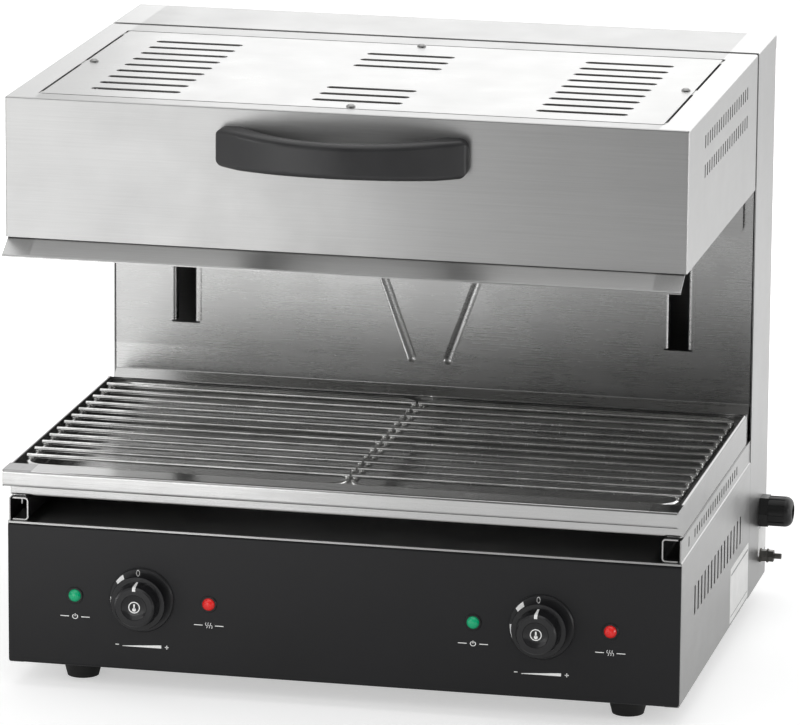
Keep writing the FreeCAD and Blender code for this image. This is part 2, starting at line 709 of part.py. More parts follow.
# Column
def column_shell():
    """Wrap of the column: both sides and the top, with rear flanges for the back cover."""
    rear = BACK - SHEET
    sides = []
    for x in SIDES:
        path = [(x * HALF, COLUMN_FRONT), (x * HALF, rear), (x * (HALF - COLUMN_FLANGE), rear)]
        if x < 0:
            path = path[::-1]
        sides.append(folded_sheet(path, SHEET, BEND, "z", BASE, TOP - SHEET))
    lid_path = [(rear, TOP - COLUMN_FLANGE), (rear, TOP), (COLUMN_FRONT, TOP)]
    lid = folded_sheet(lid_path, SHEET, BEND, "x", -HALF, HALF)
    shell = fuse(sides + [lid])
    outline = prism(rectangle(-HALF, BASE, HALF, TOP), "y", COLUMN_FRONT - SHEET, BACK, [0, 0, BEND, BEND])
    shell = shell.common(outline)
    holes = [rod(GLAND_THREAD_RADIUS + FIT, (HALF - COLUMN_FLANGE, ENTRY_Y, BASE + GLAND_ABOVE_BASE), "x",
                 2 * COLUMN_FLANGE),
             rod(STUD_RADIUS + FIT, (HALF - COLUMN_FLANGE, ENTRY_Y, BASE + STUD_ABOVE_BASE), "x",
                 2 * COLUMN_FLANGE)]
    holes += back_screw_holes()
    return shell.cut(group(holes))


def groove_bead(side, radius, centre_y):
    """Round-ended bar along one stiffening groove."""
    low = Vector(side * GROOVE_BOTTOM_X, centre_y, GROOVE_BOTTOM)
    high = Vector(side * GROOVE_TOP_X, centre_y, GROOVE_TOP)
    run = high - low
    bar = Part.makeCylinder(radius, run.Length, low, run)
    return bar.fuse([Part.makeSphere(radius, low), Part.makeSphere(radius, high)])


def slot_lining(x, side):
    """Folded edge of a lift slot on one side of its middle."""
    edge = x + side * SLOT_WIDTH / 2
    rim = edge + side * (SLOT_BEND + 2 * SHEET)
    path = [(rim, COLUMN_FRONT), (edge, COLUMN_FRONT), (edge, COLUMN_FRONT + SLOT_FLANGE)]
    if side > 0:
        path = path[::-1]
    return folded_sheet(path[::-1], SHEET, SLOT_BEND, "z", SLOT_BOTTOM + SLOT_RELIEF,
                        SLOT_TOP - SLOT_RELIEF)


def column_front():
    """Front sheet of the column with two lined lift slots, a pair of pressed grooves and a kick fold."""
    edge = HALF - SHEET - SIDE_JOGGLE - EASE
    bottom = DECK + EASE
    path = [(KICK_FRONT, bottom), (KICK_FRONT, KICK_TOP - KICK_DROP), (COLUMN_FRONT, KICK_TOP),
            (COLUMN_FRONT, TOP - SHEET - EASE)]
    panel = folded_sheet(path[::-1], SHEET, BEND, "x", -edge, edge)
    groove_radius = (GROOVE_WIDTH ** 2 / 4 + GROOVE_DEPTH ** 2) / (2 * GROOVE_DEPTH)
    groove_y = COLUMN_FRONT - groove_radius + GROOVE_DEPTH
    behind = box((-HALF, COLUMN_FRONT + SHEET / 2, BASE), (HALF, BACK, TOP))
    beads = [groove_bead(x, groove_radius + SHEET, groove_y).common(behind) for x in SIDES]
    panel = panel.fuse(beads)
    cutters = [groove_bead(x, groove_radius, groove_y) for x in SIDES]
    linings = []
    for x in SIDES:
        relief = SLOT_WIDTH / 2 + SLOT_BEND + SHEET
        cutters.append(box((x * SLOT_X - relief, COLUMN_FRONT - SHEET, SLOT_BOTTOM),
                           (x * SLOT_X + relief, PANEL_INSIDE + SHEET, SLOT_TOP)))
        linings += [slot_lining(x * SLOT_X, side) for side in SIDES]
    panel = panel.cut(group(cutters))
    return fuse([panel] + linings)


def back_cover():
    """Back sheet of the column with two fields of cooling slots."""
    cover = box((-HALF + 2.0, BACK - SHEET, BASE + 2.0), (HALF - 2.0, BACK, TOP - 4.0))
    cutters = []
    for x in SIDES:
        for i in range(BACK_SLOT_COUNT):
            z = BASE + BACK_SLOT_BOTTOM + i * BACK_SLOT_PITCH
            cutters.append(slot(x * FOOT_X / 2, z, BACK_SLOT_LENGTH, BACK_SLOT_WIDTH, "y",
                                BACK - 2 * SHEET, BACK + SHEET))
    cutters += back_screw_holes()
    return cover.cut(group(cutters))


def back_screw_places():
    """Screws down both edges of the back cover."""
    x = HALF - COLUMN_FLANGE / 2
    low = BASE + COLUMN_FLANGE
    step = (TOP - COLUMN_FLANGE - low) / (BACK_SCREW_ROWS - 1)
    return [(side * x, low + i * step) for side in SIDES for i in range(BACK_SCREW_ROWS)]


def back_screw_holes():
    """Cutters for the screws of the back cover."""
    return [rod(SCREW_SHANK_RADIUS + FIT, (x, BACK - SCREW_LENGTH, z), "y", 2 * SCREW_LENGTH)
            for x, z in back_screw_places()]


def back_cover_screws():
    """Screws of the back cover, driven into the flanges of the column."""
    return group(pan_screw(Vector(x, BACK, z), ALONG["y"], SCREW_LENGTH) for x, z in back_screw_places())


# Lift mechanism
def guide_rod(side):
    """Polished rod that the carriage runs on."""
    return rod(ROD_RADIUS, (side * ROD_X, ROD_Y, ROD_BOTTOM), "z", ROD_TOP - ROD_BOTTOM)


def rod_brackets():
    """Four angle brackets that hold the ends of the guide rods to the column's front sheet."""
    brackets = []
    for x in SIDES:
        for end in (ROD_BOTTOM, ROD_TOP - BRACKET_LEG):
            centre = x * ROD_X
            leg_y = PANEL_INSIDE + EASE
            low = end + BRACKET_LEG / 2 - BRACKET_SHEET / 2
            leg = box((centre - BRACKET_WIDTH / 2, leg_y, end),
                      (centre + BRACKET_WIDTH / 2, leg_y + BRACKET_SHEET, end + BRACKET_LEG))
            shelf = prism(rectangle(centre - BRACKET_WIDTH / 2, leg_y, centre + BRACKET_WIDTH / 2,
                                    ROD_Y + ROD_RADIUS + BRACKET_SHEET),
                          "z", low, low + BRACKET_SHEET, [0, 0, ROD_RADIUS, ROD_RADIUS])
            hole = rod(ROD_RADIUS + FIT, (centre, ROD_Y, end - BRACKET_LEG), "z", 3 * BRACKET_LEG)
            brackets.append(leg.fuse(shelf).removeSplitter().cut(hole))
    return group(brackets)


def lift_carriage():
    """Channel across the column with a bushed housing on each rod and a lug under each pulley."""
    top = CARRIAGE_Z + CARRIAGE_HEIGHT
    flange_y = CARRIAGE_Y + CARRIAGE_SHEET + CARRIAGE_FLANGE
    path = [(flange_y, CARRIAGE_Z), (CARRIAGE_Y, CARRIAGE_Z), (CARRIAGE_Y, top), (flange_y, top)]
    channel = folded_sheet(path[::-1], CARRIAGE_SHEET, BEND, "x", -CARRIAGE_HALF_WIDTH, CARRIAGE_HALF_WIDTH)
    pieces = [channel]
    bores = []
    for x in SIDES:
        pieces.append(rod(HOUSING_RADIUS, (x * ROD_X, ROD_Y, CARRIAGE_Z), "z", CARRIAGE_HEIGHT))
        bores.append(rod(BUSH_RADIUS + FIT / 2, (x * ROD_X, ROD_Y, CARRIAGE_Z - SHEET), "z",
                         CARRIAGE_HEIGHT + 2 * SHEET))
        lug_x = x * PULLEY_X
        pieces.append(box((lug_x - LUG_WIDTH / 2, CARRIAGE_Y + CARRIAGE_SHEET / 2, LUG_TOP - LUG_HEIGHT),
                          (lug_x + LUG_WIDTH / 2, FRONT_CABLE_Y + LUG_WIDTH / 2, LUG_TOP)))
    return fuse(pieces).cut(group(bores))


def carriage_bushes():
    """Four plain bushes, two in each housing."""
    bushes = []
    for x in SIDES:
        for low in (CARRIAGE_Z, CARRIAGE_Z + CARRIAGE_HEIGHT - BUSH_LENGTH):
            outer = rod(BUSH_RADIUS, (x * ROD_X, ROD_Y, low), "z", BUSH_LENGTH)
            inner = rod(ROD_RADIUS + FIT, (x * ROD_X, ROD_Y, low - SHEET), "z", BUSH_LENGTH + 2 * SHEET)
            bushes.append(outer.cut(inner))
    return group(bushes)


def lift_arm(side):
    """Flat arm that carries the head: it runs from the carriage through the slot into the head."""
    x = side * SLOT_X
    front = HEAD_BACK - ARM_FORWARD
    rear = CARRIAGE_Y - EASE / 10
    outline = rectangle(front, ARM_Z, rear, ARM_Z + ARM_HEIGHT)
    return prism(outline, "x", x - ARM_WIDTH / 2, x + ARM_WIDTH / 2, [2, 0, 0, ARM_HEIGHT / 3])


def pulley(side):
    """Grooved wheel that turns on its axle."""
    half = PULLEY_WIDTH / 2
    floor = PULLEY_GROOVE_RADIUS - CABLE_RADIUS - EASE
    profile = [(AXLE_RADIUS + FIT, -half), (PULLEY_RADIUS, -half), (PULLEY_RADIUS, -half * 0.75),
               (floor, -half * 0.3), (floor, half * 0.3), (PULLEY_RADIUS, half * 0.75),
               (PULLEY_RADIUS, half), (AXLE_RADIUS + FIT, half)]
    centre = Vector(side * PULLEY_X, PULLEY_Y, PULLEY_Z)
    points = [centre + Vector(distance, 0, radius) for radius, distance in profile]
    face = Part.Face(Part.makePolygon(points + points[:1]))
    return face.revolve(centre, ALONG["x"], 360)


def pulley_brackets():
    """Two forks under the top sheet that hold the pulley axles."""
    brackets = []
    for side in SIDES:
        x = side * PULLEY_X
        half = PULLEY_WIDTH / 2 + EASE
        top = TOP - SHEET - EASE - CHEEK
        low = PULLEY_Z - AXLE_RADIUS - 5
        path = [(x - half, low), (x - half, top), (x + half, top), (x + half, low)]
        fork = folded_sheet(path, CHEEK, EASE, "y", PULLEY_Y - CHEEK_LENGTH / 2, PULLEY_Y + CHEEK_LENGTH / 2)
        hole = rod(AXLE_RADIUS + FIT / 2, (x - 2 * PULLEY_WIDTH, PULLEY_Y, PULLEY_Z), "x", 4 * PULLEY_WIDTH)
        brackets.append(fork.cut(hole))
    return group(brackets)


def pulley_axles():
    """Pins through the forks."""
    reach = PULLEY_WIDTH / 2 + EASE + 2 * CHEEK
    return group(rod(AXLE_RADIUS, (side * PULLEY_X - reach, PULLEY_Y, PULLEY_Z), "x", 2 * reach)
                 for side in SIDES)


def cable_wraps():
    """Half turns of the wire rope over the pulleys."""
    wraps = []
    for side in SIDES:
        x = side * PULLEY_X
        start = Vector(x, FRONT_CABLE_Y, PULLEY_Z)
        peak = Vector(x, PULLEY_Y, PULLEY_Z + PULLEY_GROOVE_RADIUS)
        end = Vector(x, BACK_CABLE_Y, PULLEY_Z)
        path = Part.Wire(Part.Arc(start, peak, end).toShape())
        section = Part.Wire(Part.makeCircle(CABLE_RADIUS, start, ALONG["z"]))
        wraps.append(path.makePipeShell([section], True, False))
    return group(wraps)


def front_cables():
    """Runs of the wire rope between the carriage lugs and the pulleys."""
    low = LUG_TOP + FIT
    return group(rod(CABLE_RADIUS, (side * PULLEY_X, FRONT_CABLE_Y, low), "z", PULLEY_Z - low)
                 for side in SIDES)


def back_cables():
    """Runs of the wire rope between the pulleys and the counterweight."""
    low = WEIGHT_TOP + FIT
    return group(rod(CABLE_RADIUS, (side * PULLEY_X, BACK_CABLE_Y, low), "z", PULLEY_Z - low)
                 for side in SIDES)


def counterweight():
    """Steel bar that balances the head."""
    outline = rectangle(-WEIGHT_HALF_WIDTH, WEIGHT_Y, WEIGHT_HALF_WIDTH, WEIGHT_Y + WEIGHT_DEPTH)
    return prism(outline, "z", WEIGHT_BOTTOM, WEIGHT_TOP, WEIGHT_EDGE)


def weight_guides():
    """Two folded guides on the back cover that keep the counterweight straight."""
    guides = []
    front = WEIGHT_Y - EASE - GUIDE_SHEET
    rear = BACK - SHEET - EASE - GUIDE_SHEET
    low = WEIGHT_BOTTOM - GUIDE_BELOW_WEIGHT
    high = WEIGHT_TOP + LIFT_TRAVEL + GUIDE_ABOVE_TRAVEL
    for side in SIDES:
        web = WEIGHT_HALF_WIDTH + EASE + GUIDE_SHEET
        path = [(side * (web - GUIDE_LIP), front), (side * web, front), (side * web, rear),
                (side * (web + GUIDE_FOOT), rear)]
        if side < 0:
            path = path[::-1]
        guides.append(folded_sheet(path, GUIDE_SHEET, EASE, "z", low, high))
    return group(guides)


# Heating head
def cover_opening(clearance):
    """Outline of the opening in the head's top, taken in by a clearance."""
    half = HALF - COVER_INSET_X - clearance
    front = FRONT + COVER_INSET_FRONT + clearance
    rear = HEAD_BACK - COVER_INSET_REAR - clearance
    return rectangle(-half, front, half, rear)


def arm_cutters(front, rear):
    """Clearance holes for the two lift arms."""
    half = ARM_WIDTH / 2 + ARM_CLEARANCE
    return [box((x * SLOT_X - half, front, ARM_Z - ARM_CLEARANCE),
                (x * SLOT_X + half, rear, ARM_Z + ARM_HEIGHT + ARM_CLEARANCE)) for x in SIDES]


def head_casing():
    """Outer box of the head: front, sides, back and the top frame around the cover."""
    low = HEAD_BOTTOM
    high = TOP
    outer = prism(rectangle(-HALF, FRONT, HALF, HEAD_BACK), "z", low, high, HEAD_BEND)
    crown = [edge for edge in outer.Edges
             if min(v.Z for v in edge.Vertexes) > high - FIT and edge.Length > HEAD_BEND * 2]
    outer = outer.makeFillet(BEND, crown)
    inner = prism(rectangle(-HALF + SHEET, FRONT + SHEET, HALF - SHEET, HEAD_BACK - SHEET), "z",
                  low - SHEET, high - SHEET, HEAD_BEND - SHEET)
    casing = outer.cut(inner)
    ledge = prism(cover_opening(-COVER_LEDGE / 2), "z", high - 2 * SHEET, high - SHEET)
    ledge = ledge.cut(prism(cover_opening(COVER_LEDGE), "z", low, high))
    ledge = ledge.cut(group(ledge_slits()))
    flanges = []
    for x in SIDES:
        flanges.append(box((min(x * (HALF - SHEET), x * (HALF - HEAD_FLANGE)), FRONT + HEAD_FLANGE, low),
                           (max(x * (HALF - SHEET), x * (HALF - HEAD_FLANGE)), HEAD_BACK - SHEET, low + SHEET)))
    flanges.append(box((-HALF + SHEET, HEAD_BACK - HEAD_FLANGE, low), (HALF - SHEET, HEAD_BACK - SHEET, low + SHEET)))
    casing = casing.cut(prism(cover_opening(0), "z", high - 1.5 * SHEET, high + SHEET, HEAD_BEND))
    casing = fuse([casing, ledge] + flanges)
    cutters = arm_cutters(HEAD_BACK - 2 * SHEET, HEAD_BACK + SHEET)
    for x in SIDES:
        wall = min(x * (HALF - 2 * SHEET), x * (HALF + SHEET))
        for drop in (SIDE_VENT_UPPER, SIDE_VENT_LOWER):
            for y in row(FRONT + SIDE_VENT_FIRST, SIDE_VENT_PITCH, HEAD_BACK - SIDE_VENT_REAR_MARGIN):
                z = TOP - drop - SIDE_VENT_HEIGHT / 2 - EASE
                cutters.append(box((wall, y - SIDE_VENT_WIDTH / 2, z),
                                   (wall + 3 * SHEET, y + SIDE_VENT_WIDTH / 2, z + SIDE_VENT_HEIGHT)))
    for x in SIDES:
        cutters.append(rod(HANDLE_SCREW_RADIUS + FIT, (x * handle_pad_x(), FRONT - SHEET, handle_z()), "y",
                           3 * SHEET))
    for x, y in cover_screw_places():
        cutters.append(rod(SCREW_SHANK_RADIUS + FIT, (x, y, high - 4 * SHEET), "z", 4 * SHEET))
    return casing.cut(group(cutters))


def ledge_slits():
    """Openings in the ledge under the gaps left and right of the cover, apart from the screw tabs."""
    (_, front), _, (_, rear), _ = cover_opening(COVER_LEDGE)
    outer = HALF - COVER_INSET_X
    middle = (front + rear) / 2
    slits = []
    for x in SIDES:
        low_x = min(x * outer, x * (outer - COVER_GAP))
        for start, end in ((front, middle - COVER_TAB / 2), (middle + COVER_TAB / 2, rear)):
            slits.append(box((low_x, start, TOP - 3 * SHEET), (low_x + COVER_GAP, end, TOP)))
    return slits


def cover_screw_places():
    """One screw in the middle of each edge of the top cover."""
    (left, front), _, (right, rear), _ = cover_opening(COVER_GAP)
    middle_x = (left + right) / 2
    middle_y = (front + rear) / 2
    return [(left + COVER_SCREW_INSET, middle_y), (right - COVER_SCREW_INSET, middle_y),
            (middle_x, front + COVER_SCREW_INSET), (middle_x, rear - COVER_SCREW_INSET)]


def vent_places():
    """Middles of the long vent slots in the top cover."""
    first = FRONT + VENT_FRONT_Y
    places = [(x * VENT_SIDE_X, y) for x in SIDES for y in row(first, VENT_PITCH, HEAD_BACK - VENT_REAR_MARGIN)]
    rear = HEAD_BACK - VENT_MIDDLE_MARGIN
    for i in range(VENT_MIDDLE_COUNT):
        places.append((0, first + i * VENT_PITCH))
        places.append((0, rear - i * VENT_PITCH))
    return places


def head_top_cover():
    """Vented cover plate that lies in the top frame."""
    low = TOP - SHEET + FIT
    cover = prism(cover_opening(COVER_GAP), "z", low, TOP, HEAD_BEND)
    cutters = [slot(x, y, VENT_LENGTH, VENT_WIDTH, "z", low - SHEET, TOP + SHEET) for x, y in vent_places()]
    for x, y in cover_screw_places():
        cutters.append(rod(SCREW_SHANK_RADIUS + FIT, (x, y, low - SHEET), "z", 3 * SHEET))
    return cover.cut(group(cutters))


def head_cover_screws():
    """Screws of the top cover."""
    return group(pan_screw(Vector(x, y, TOP), ALONG["z"], SCREW_LENGTH) for x, y in cover_screw_places())


def head_deflector():
    """Folded strip inside the head's front edge whose lower part flares out as a drip lip."""
    leg = FRONT + SHEET + EASE
    path = [(leg, HEAD_BOTTOM + LIP_LEG), (leg, HEAD_BOTTOM - EASE),
            (FRONT - LIP_REACH, HEAD_BOTTOM - LIP_DROP), (FRONT - LIP_REACH, HEAD_BOTTOM - LIP_DROP - 1.6)]
    half = HALF - LIP_END_GAP
    return folded_sheet(path, SHEET, EASE, "x", -half, half)


def handle_z():
    """Height of the handle's middle."""
    return TOP - HANDLE_BELOW_TOP


def handle_pad_x():
    """Distance of the middle of a handle pad from the middle of the handle."""
    return HANDLE_LENGTH / 2 - HANDLE_PAD / 2


def bow(half_length, end_y, crown_y, level, end_level):
    """Arc in plan, from one end over the crown to the other."""
    return Part.Arc(Vector(-half_length, end_y, level), Vector(0, crown_y, end_level),
                    Vector(half_length, end_y, level)).toShape()


def handle():
    """Moulded bow handle: thick rounded grip between two pads that stand on the head's front."""
    half = HANDLE_LENGTH / 2
    face = FRONT - FIT
    low = handle_z() - HANDLE_HEIGHT / 2
    shoulder = face - HANDLE_PAD_REACH
    inner_half = half - HANDLE_PAD
    outer = bow(half, shoulder, face - HANDLE_REACH, low, low)
    inner = bow(inner_half, face, face - HANDLE_REACH + HANDLE_GRIP, low, low)
    right = [Part.makeLine(Vector(half, shoulder, low), Vector(half, face, low)),
             Part.makeLine(Vector(half, face, low), Vector(inner_half, face, low))]
    left = [Part.makeLine(Vector(-inner_half, face, low), Vector(-half, face, low)),
            Part.makeLine(Vector(-half, face, low), Vector(-half, shoulder, low))]
    outline = Part.Wire(Part.__sortEdges__([outer] + right + [inner] + left))
    body = Part.Face(outline).extrude(Vector(0, 0, HANDLE_HEIGHT))
    corners = [edge for edge in body.Edges
               if abs(edge.Length - HANDLE_HEIGHT) < FIT and abs(edge.Vertexes[0].Y - shoulder) < FIT]
    body = body.makeFillet(HANDLE_EDGE * 1.4, corners)
    waist_drop = (HANDLE_HEIGHT - HANDLE_WAIST) / 2
    trims = []
    for up in SIDES:
        level = handle_z() + up * HANDLE_HEIGHT / 2
        dip = level - up * waist_drop
        arc = Part.Arc(Vector(-inner_half, face - HANDLE_REACH * 2, level), Vector(0, face - HANDLE_REACH * 2, dip),
                       Vector(inner_half, face - HANDLE_REACH * 2, level)).toShape()
        chord = Part.makeLine(Vector(inner_half, face - HANDLE_REACH * 2, level),
                              Vector(-inner_half, face - HANDLE_REACH * 2, level))
        trims.append(Part.Face(Part.Wire([arc, chord])).extrude(Vector(0, HANDLE_REACH * 2.5, 0)))
    body = body.cut(group(trims))
    rims = []
    for edge in body.Edges:
        centre = edge.CenterOfMass
        flat = abs(edge.BoundBox.ZLength) < HANDLE_HEIGHT * 0.5
        if flat and centre.y < face - 1 and edge.Length > HANDLE_EDGE:
            rims.append(edge)
    body = body.makeFillet(HANDLE_EDGE, rims)
    front_view = rectangle(-half, low, half, low + HANDLE_HEIGHT)
    body = body.common(prism(front_view, "y", face - 2 * HANDLE_REACH, face, HANDLE_END_ROUND))
    holes = [rod(HANDLE_SCREW_RADIUS, (x * handle_pad_x(), face - HANDLE_PAD_REACH, handle_z()), "y",
                 HANDLE_PAD_REACH * 2) for x in SIDES]
    return body.cut(group(holes))


def handle_screws():
    """Two screws from inside the head into the handle pads."""
    length = HANDLE_PAD_REACH * 0.7 + SHEET
    return group(pan_screw(Vector(x * handle_pad_x(), FRONT + SHEET, handle_z()), ALONG["y"], length,
                           HANDLE_SCREW_RADIUS / SCREW_SHANK_RADIUS * SCREW_HEAD_RADIUS * 0.98)
                 for x in SIDES)


def frustum(low_corners, high_corners, low, high):
    """Block whose rectangle changes size from one level to another."""
    wires = []
    for corners, level in ((low_corners, low), (high_corners, high)):
        points = [Vector(a, b, level) for a, b in corners]
        wires.append(Part.makePolygon(points + points[:1]))
    return Part.makeLoft(wires, True, True)


def inset(corners, amount):
    """Rectangle taken in on all four sides."""
    (left, front), _, (right, rear), _ = corners
    return rectangle(left + amount, front + amount, right - amount, rear - amount)


def reflector_pan():
    """Upturned pan over the heating elements, with a flat rim that rests on the head's flanges."""
    edge = SHEET + REFLECTOR_RIM_INSET
    rim = rectangle(-HALF + edge, FRONT + edge, HALF - edge, HEAD_BACK - edge)
    mouth = inset(rim, REFLECTOR_INSET)
    crown = inset(mouth, REFLECTOR_SLOPE)
    low = REFLECTOR_RIM_Z
    high = REFLECTOR_TOP
    outer = frustum(mouth, crown, low, high)
    plate = prism(rim, "z", low, low + SHEET)
    inner = frustum(inset(mouth, SHEET), inset(crown, SHEET), low, high - SHEET)
    below = prism(inset(mouth, SHEET), "z", low - SHEET, low)
    pan = plate.fuse(outer).cut(group([inner, below]))
    holes = []
    for side in SIDES:
        for y in element_ends():
            holes.append(rod(ELEMENT_RADIUS + FIT * 6, (side * ELEMENT_OUTER_X, y, ELEMENT_Z), "z",
                             ELEMENT_RISE + ELEMENT_BELOW_PAN))
    return pan.cut(group(holes)).removeSplitter()


def insulation():
    """Mineral wool slab on the reflector, between the lift arms."""
    low = ARM_Z
    edge = REFLECTOR_INSET + REFLECTOR_SLOPE + SHEET
    return box((-INSULATION_HALF_WIDTH, FRONT + edge, low),
               (INSULATION_HALF_WIDTH, HEAD_BACK - edge, low + INSULATION_HEIGHT))


def element_first_y():
    """Place of the front leg of a heating element."""
    middle = (FRONT + HEAD_BACK) / 2
    return middle - (ELEMENT_LEGS - 1) * ELEMENT_PITCH / 2


def element_ends():
    """Places where a heating element goes up through the reflector."""
    first = element_first_y()
    return (first, first + (ELEMENT_LEGS - 1) * ELEMENT_PITCH)


def heating_element():
    """Right heating element: one tube in a zigzag whose two ends turn up through the reflector."""
    first = element_first_y()
    points = [Vector(ELEMENT_OUTER_X, first, ELEMENT_Z + ELEMENT_RISE)]
    radii = [0]
    for i in range(ELEMENT_LEGS):
        y = first + i * ELEMENT_PITCH
        ends = (ELEMENT_OUTER_X, ELEMENT_INNER_X) if i % 2 == 0 else (ELEMENT_INNER_X, ELEMENT_OUTER_X)
        for x in ends:
            if x == ELEMENT_OUTER_X and 0 < i < ELEMENT_LEGS - 1:
                x = ELEMENT_OUTER_X - ELEMENT_BEND
            points.append(Vector(x, y, ELEMENT_Z))
            radii.append(ELEMENT_PITCH / 2 * 0.999)
    radii[1] = ELEMENT_BEND
    radii[-1] = ELEMENT_BEND
    points[2 * ELEMENT_LEGS].x = ELEMENT_OUTER_X
    points.append(Vector(ELEMENT_OUTER_X, points[-1].y, ELEMENT_Z + ELEMENT_RISE))
    radii.append(0)
    path = Part.Wire(rounded_edges(points, radii, False))
    section = Part.Wire(Part.makeCircle(ELEMENT_RADIUS, points[0], ALONG["z"]))
    return path.makePipeShell([section], True, False)


def element_terminals():
    """Ceramic terminals on the ends of the heating elements."""
    terminals = []
    for side in SIDES:
        for y in element_ends():
            low = ELEMENT_Z + ELEMENT_RISE + FIT
            x = side * ELEMENT_OUTER_X
            base = rod(TERMINAL_RADIUS, (x, y, low), "z", TERMINAL_HEIGHT * 0.6)
            tip = rod(TERMINAL_RADIUS * 0.35, (x, y, low), "z", TERMINAL_HEIGHT)
            terminals.append(base.fuse(tip).removeSplitter())
    return group(terminals)


def element_supports():
    """Hangers across the head that carry the heating elements."""
    low = ELEMENT_Z - ELEMENT_RADIUS - EASE
    high = REFLECTOR_TOP - SHEET - EASE
    margin = 3 * ELEMENT_RADIUS
    front, rear = element_ends()
    front -= margin
    rear += margin
    supports = []
    for side in SIDES:
        for share in SUPPORT_SHARES:
            start = side * HALF * share - SUPPORT_WIDTH / 2
            path = [(front, high), (front, low - SUPPORT_SHEET), (rear, low - SUPPORT_SHEET), (rear, high)]
            supports.append(folded_sheet(path, SUPPORT_SHEET, EASE, "x", start, start + SUPPORT_WIDTH))
    return group(supports)


def head_rear_shield():
    """Sheet behind the head that keeps the slots covered, with holes for the arms."""
    front = HEAD_BACK + EASE
    outline = rectangle(-SHIELD_HALF_WIDTH, HEAD_BOTTOM - SHIELD_DROP, SHIELD_HALF_WIDTH, TOP - SHIELD_TOP_DROP)
    sheet = prism(outline, "y", front, front + SHEET, SHIELD_CORNER)
    return sheet.cut(group(arm_cutters(HEAD_BACK, HEAD_BACK + HEAD_GAP)))


# Controls
def knob_places():
    """Middles of the two knobs."""
    return [side * KNOB_X for side in SIDES]


def light_places():
    """Middles of the four pilot lights."""
    return [x + side * LIGHT_OFFSET for x in knob_places() for side in SIDES]


def dial_rings():
    """Fixed printed dials behind the knobs."""
    dials = []
    for x in knob_places():
        rise = DIAL_THICK
        profile = [(SHAFT_HOLE_RADIUS, FIT), (DIAL_RADIUS, FIT), (DIAL_RADIUS, rise * 0.5),
                   (DIAL_RADIUS - rise * 0.4, rise), (SHAFT_HOLE_RADIUS, rise)]
        dials.append(revolve(profile, Vector(x, FRONT, KNOB_Z), FORWARD))
    return group(dials)


def knob(x):
    """Moulded knob: a flared skirt and a fluted grip with a dished face, bored for the shaft."""
    rear = DIAL_THICK + EASE
    step = rear + KNOB_SKIRT_DEPTH
    face = step + KNOB_GRIP_DEPTH
    profile = [(0, rear), (KNOB_NECK_RADIUS, rear), (KNOB_SKIRT_RADIUS, step - 1.5),
               (KNOB_SKIRT_RADIUS - 0.5, step), (KNOB_GRIP_RADIUS, step), (KNOB_FACE_RADIUS, face - 1.5),
               (KNOB_FACE_RADIUS - 1.5, face), (KNOB_DISH_RADIUS, face),
               (KNOB_DISH_RADIUS - 1.0, face - KNOB_DISH_DEPTH), (0, face - KNOB_DISH_DEPTH)]
    centre = Vector(x, FRONT, KNOB_Z)
    body = revolve(profile, centre, FORWARD)
    cutters = []
    for i in range(KNOB_FLUTES):
        angle = 2 * math.pi * (i + 0.5) / KNOB_FLUTES
        reach = KNOB_GRIP_RADIUS + KNOB_FLUTE_RADIUS - KNOB_FLUTE_DEPTH
        start = Vector(x + reach * math.sin(angle), FRONT - step, KNOB_Z + reach * math.cos(angle))
        cutters.append(Part.makeCylinder(KNOB_FLUTE_RADIUS, KNOB_GRIP_DEPTH * 2, start, FORWARD))
    cutters.append(Part.makeCylinder(SHAFT_RADIUS + FIT / 2, rear + KNOB_HUB_DEPTH, centre, FORWARD))
    return body.cut(group(cutters))


def thermostat_shaft(x):
    """Shaft with a flat, turned by the knob, whose inner end runs in the thermostat."""
    front = FRONT - DIAL_THICK - EASE - KNOB_HUB_DEPTH + 1.0
    rear = PANEL_BACK + EASE + SHAFT_DEPTH - 1.0
    shaft = rod(SHAFT_RADIUS, (x, front, KNOB_Z), "y", rear - front)
    flat = box((x - SHAFT_RADIUS, front - 1, KNOB_Z + SHAFT_RADIUS * 0.6),
               (x + SHAFT_RADIUS, FRONT - DIAL_THICK - EASE, KNOB_Z + SHAFT_RADIUS * 2))
    return shaft.cut(flat)


def thermostats():
    """Two regulator bodies behind the panel, each with its shaft bore and a neck in the panel hole."""
    bodies = []
    for x in knob_places():
        front = PANEL_BACK + EASE
        half = THERMOSTAT_SIZE / 2
        body = prism(rectangle(x - half, KNOB_Z - half, x + half, KNOB_Z + half), "y", front,
                     front + THERMOSTAT_DEPTH, 3.0)
        neck = rod(SHAFT_HOLE_RADIUS - EASE, (x, FRONT + EASE, KNOB_Z), "y", front - FRONT)
        bore = rod(SHAFT_RADIUS + FIT, (x, FRONT - 1, KNOB_Z), "y", front - FRONT + 1 + SHAFT_DEPTH)
        bodies.append(body.fuse(neck).removeSplitter().cut(bore))
    return group(bodies)


def light_housings():
    """Pilot light bodies with a bezel in front of the panel and a socket for the lens."""
    housings = []
    for x in light_places():
        profile = [(0, LENS_SEAT - BEZEL_HEIGHT), (LENS_RADIUS + FIT, LENS_SEAT - BEZEL_HEIGHT),
                   (LENS_RADIUS + FIT, BEZEL_HEIGHT), (BEZEL_RADIUS - 0.5, BEZEL_HEIGHT),
                   (BEZEL_RADIUS, BEZEL_HEIGHT / 2), (BEZEL_RADIUS, FIT), (LIGHT_BODY_RADIUS, FIT),
                   (LIGHT_BODY_RADIUS, -LIGHT_BODY_DEPTH), (0, -LIGHT_BODY_DEPTH)]
        housings.append(revolve(profile, Vector(x, FRONT, KNOB_Z), FORWARD))
    return group(housings)


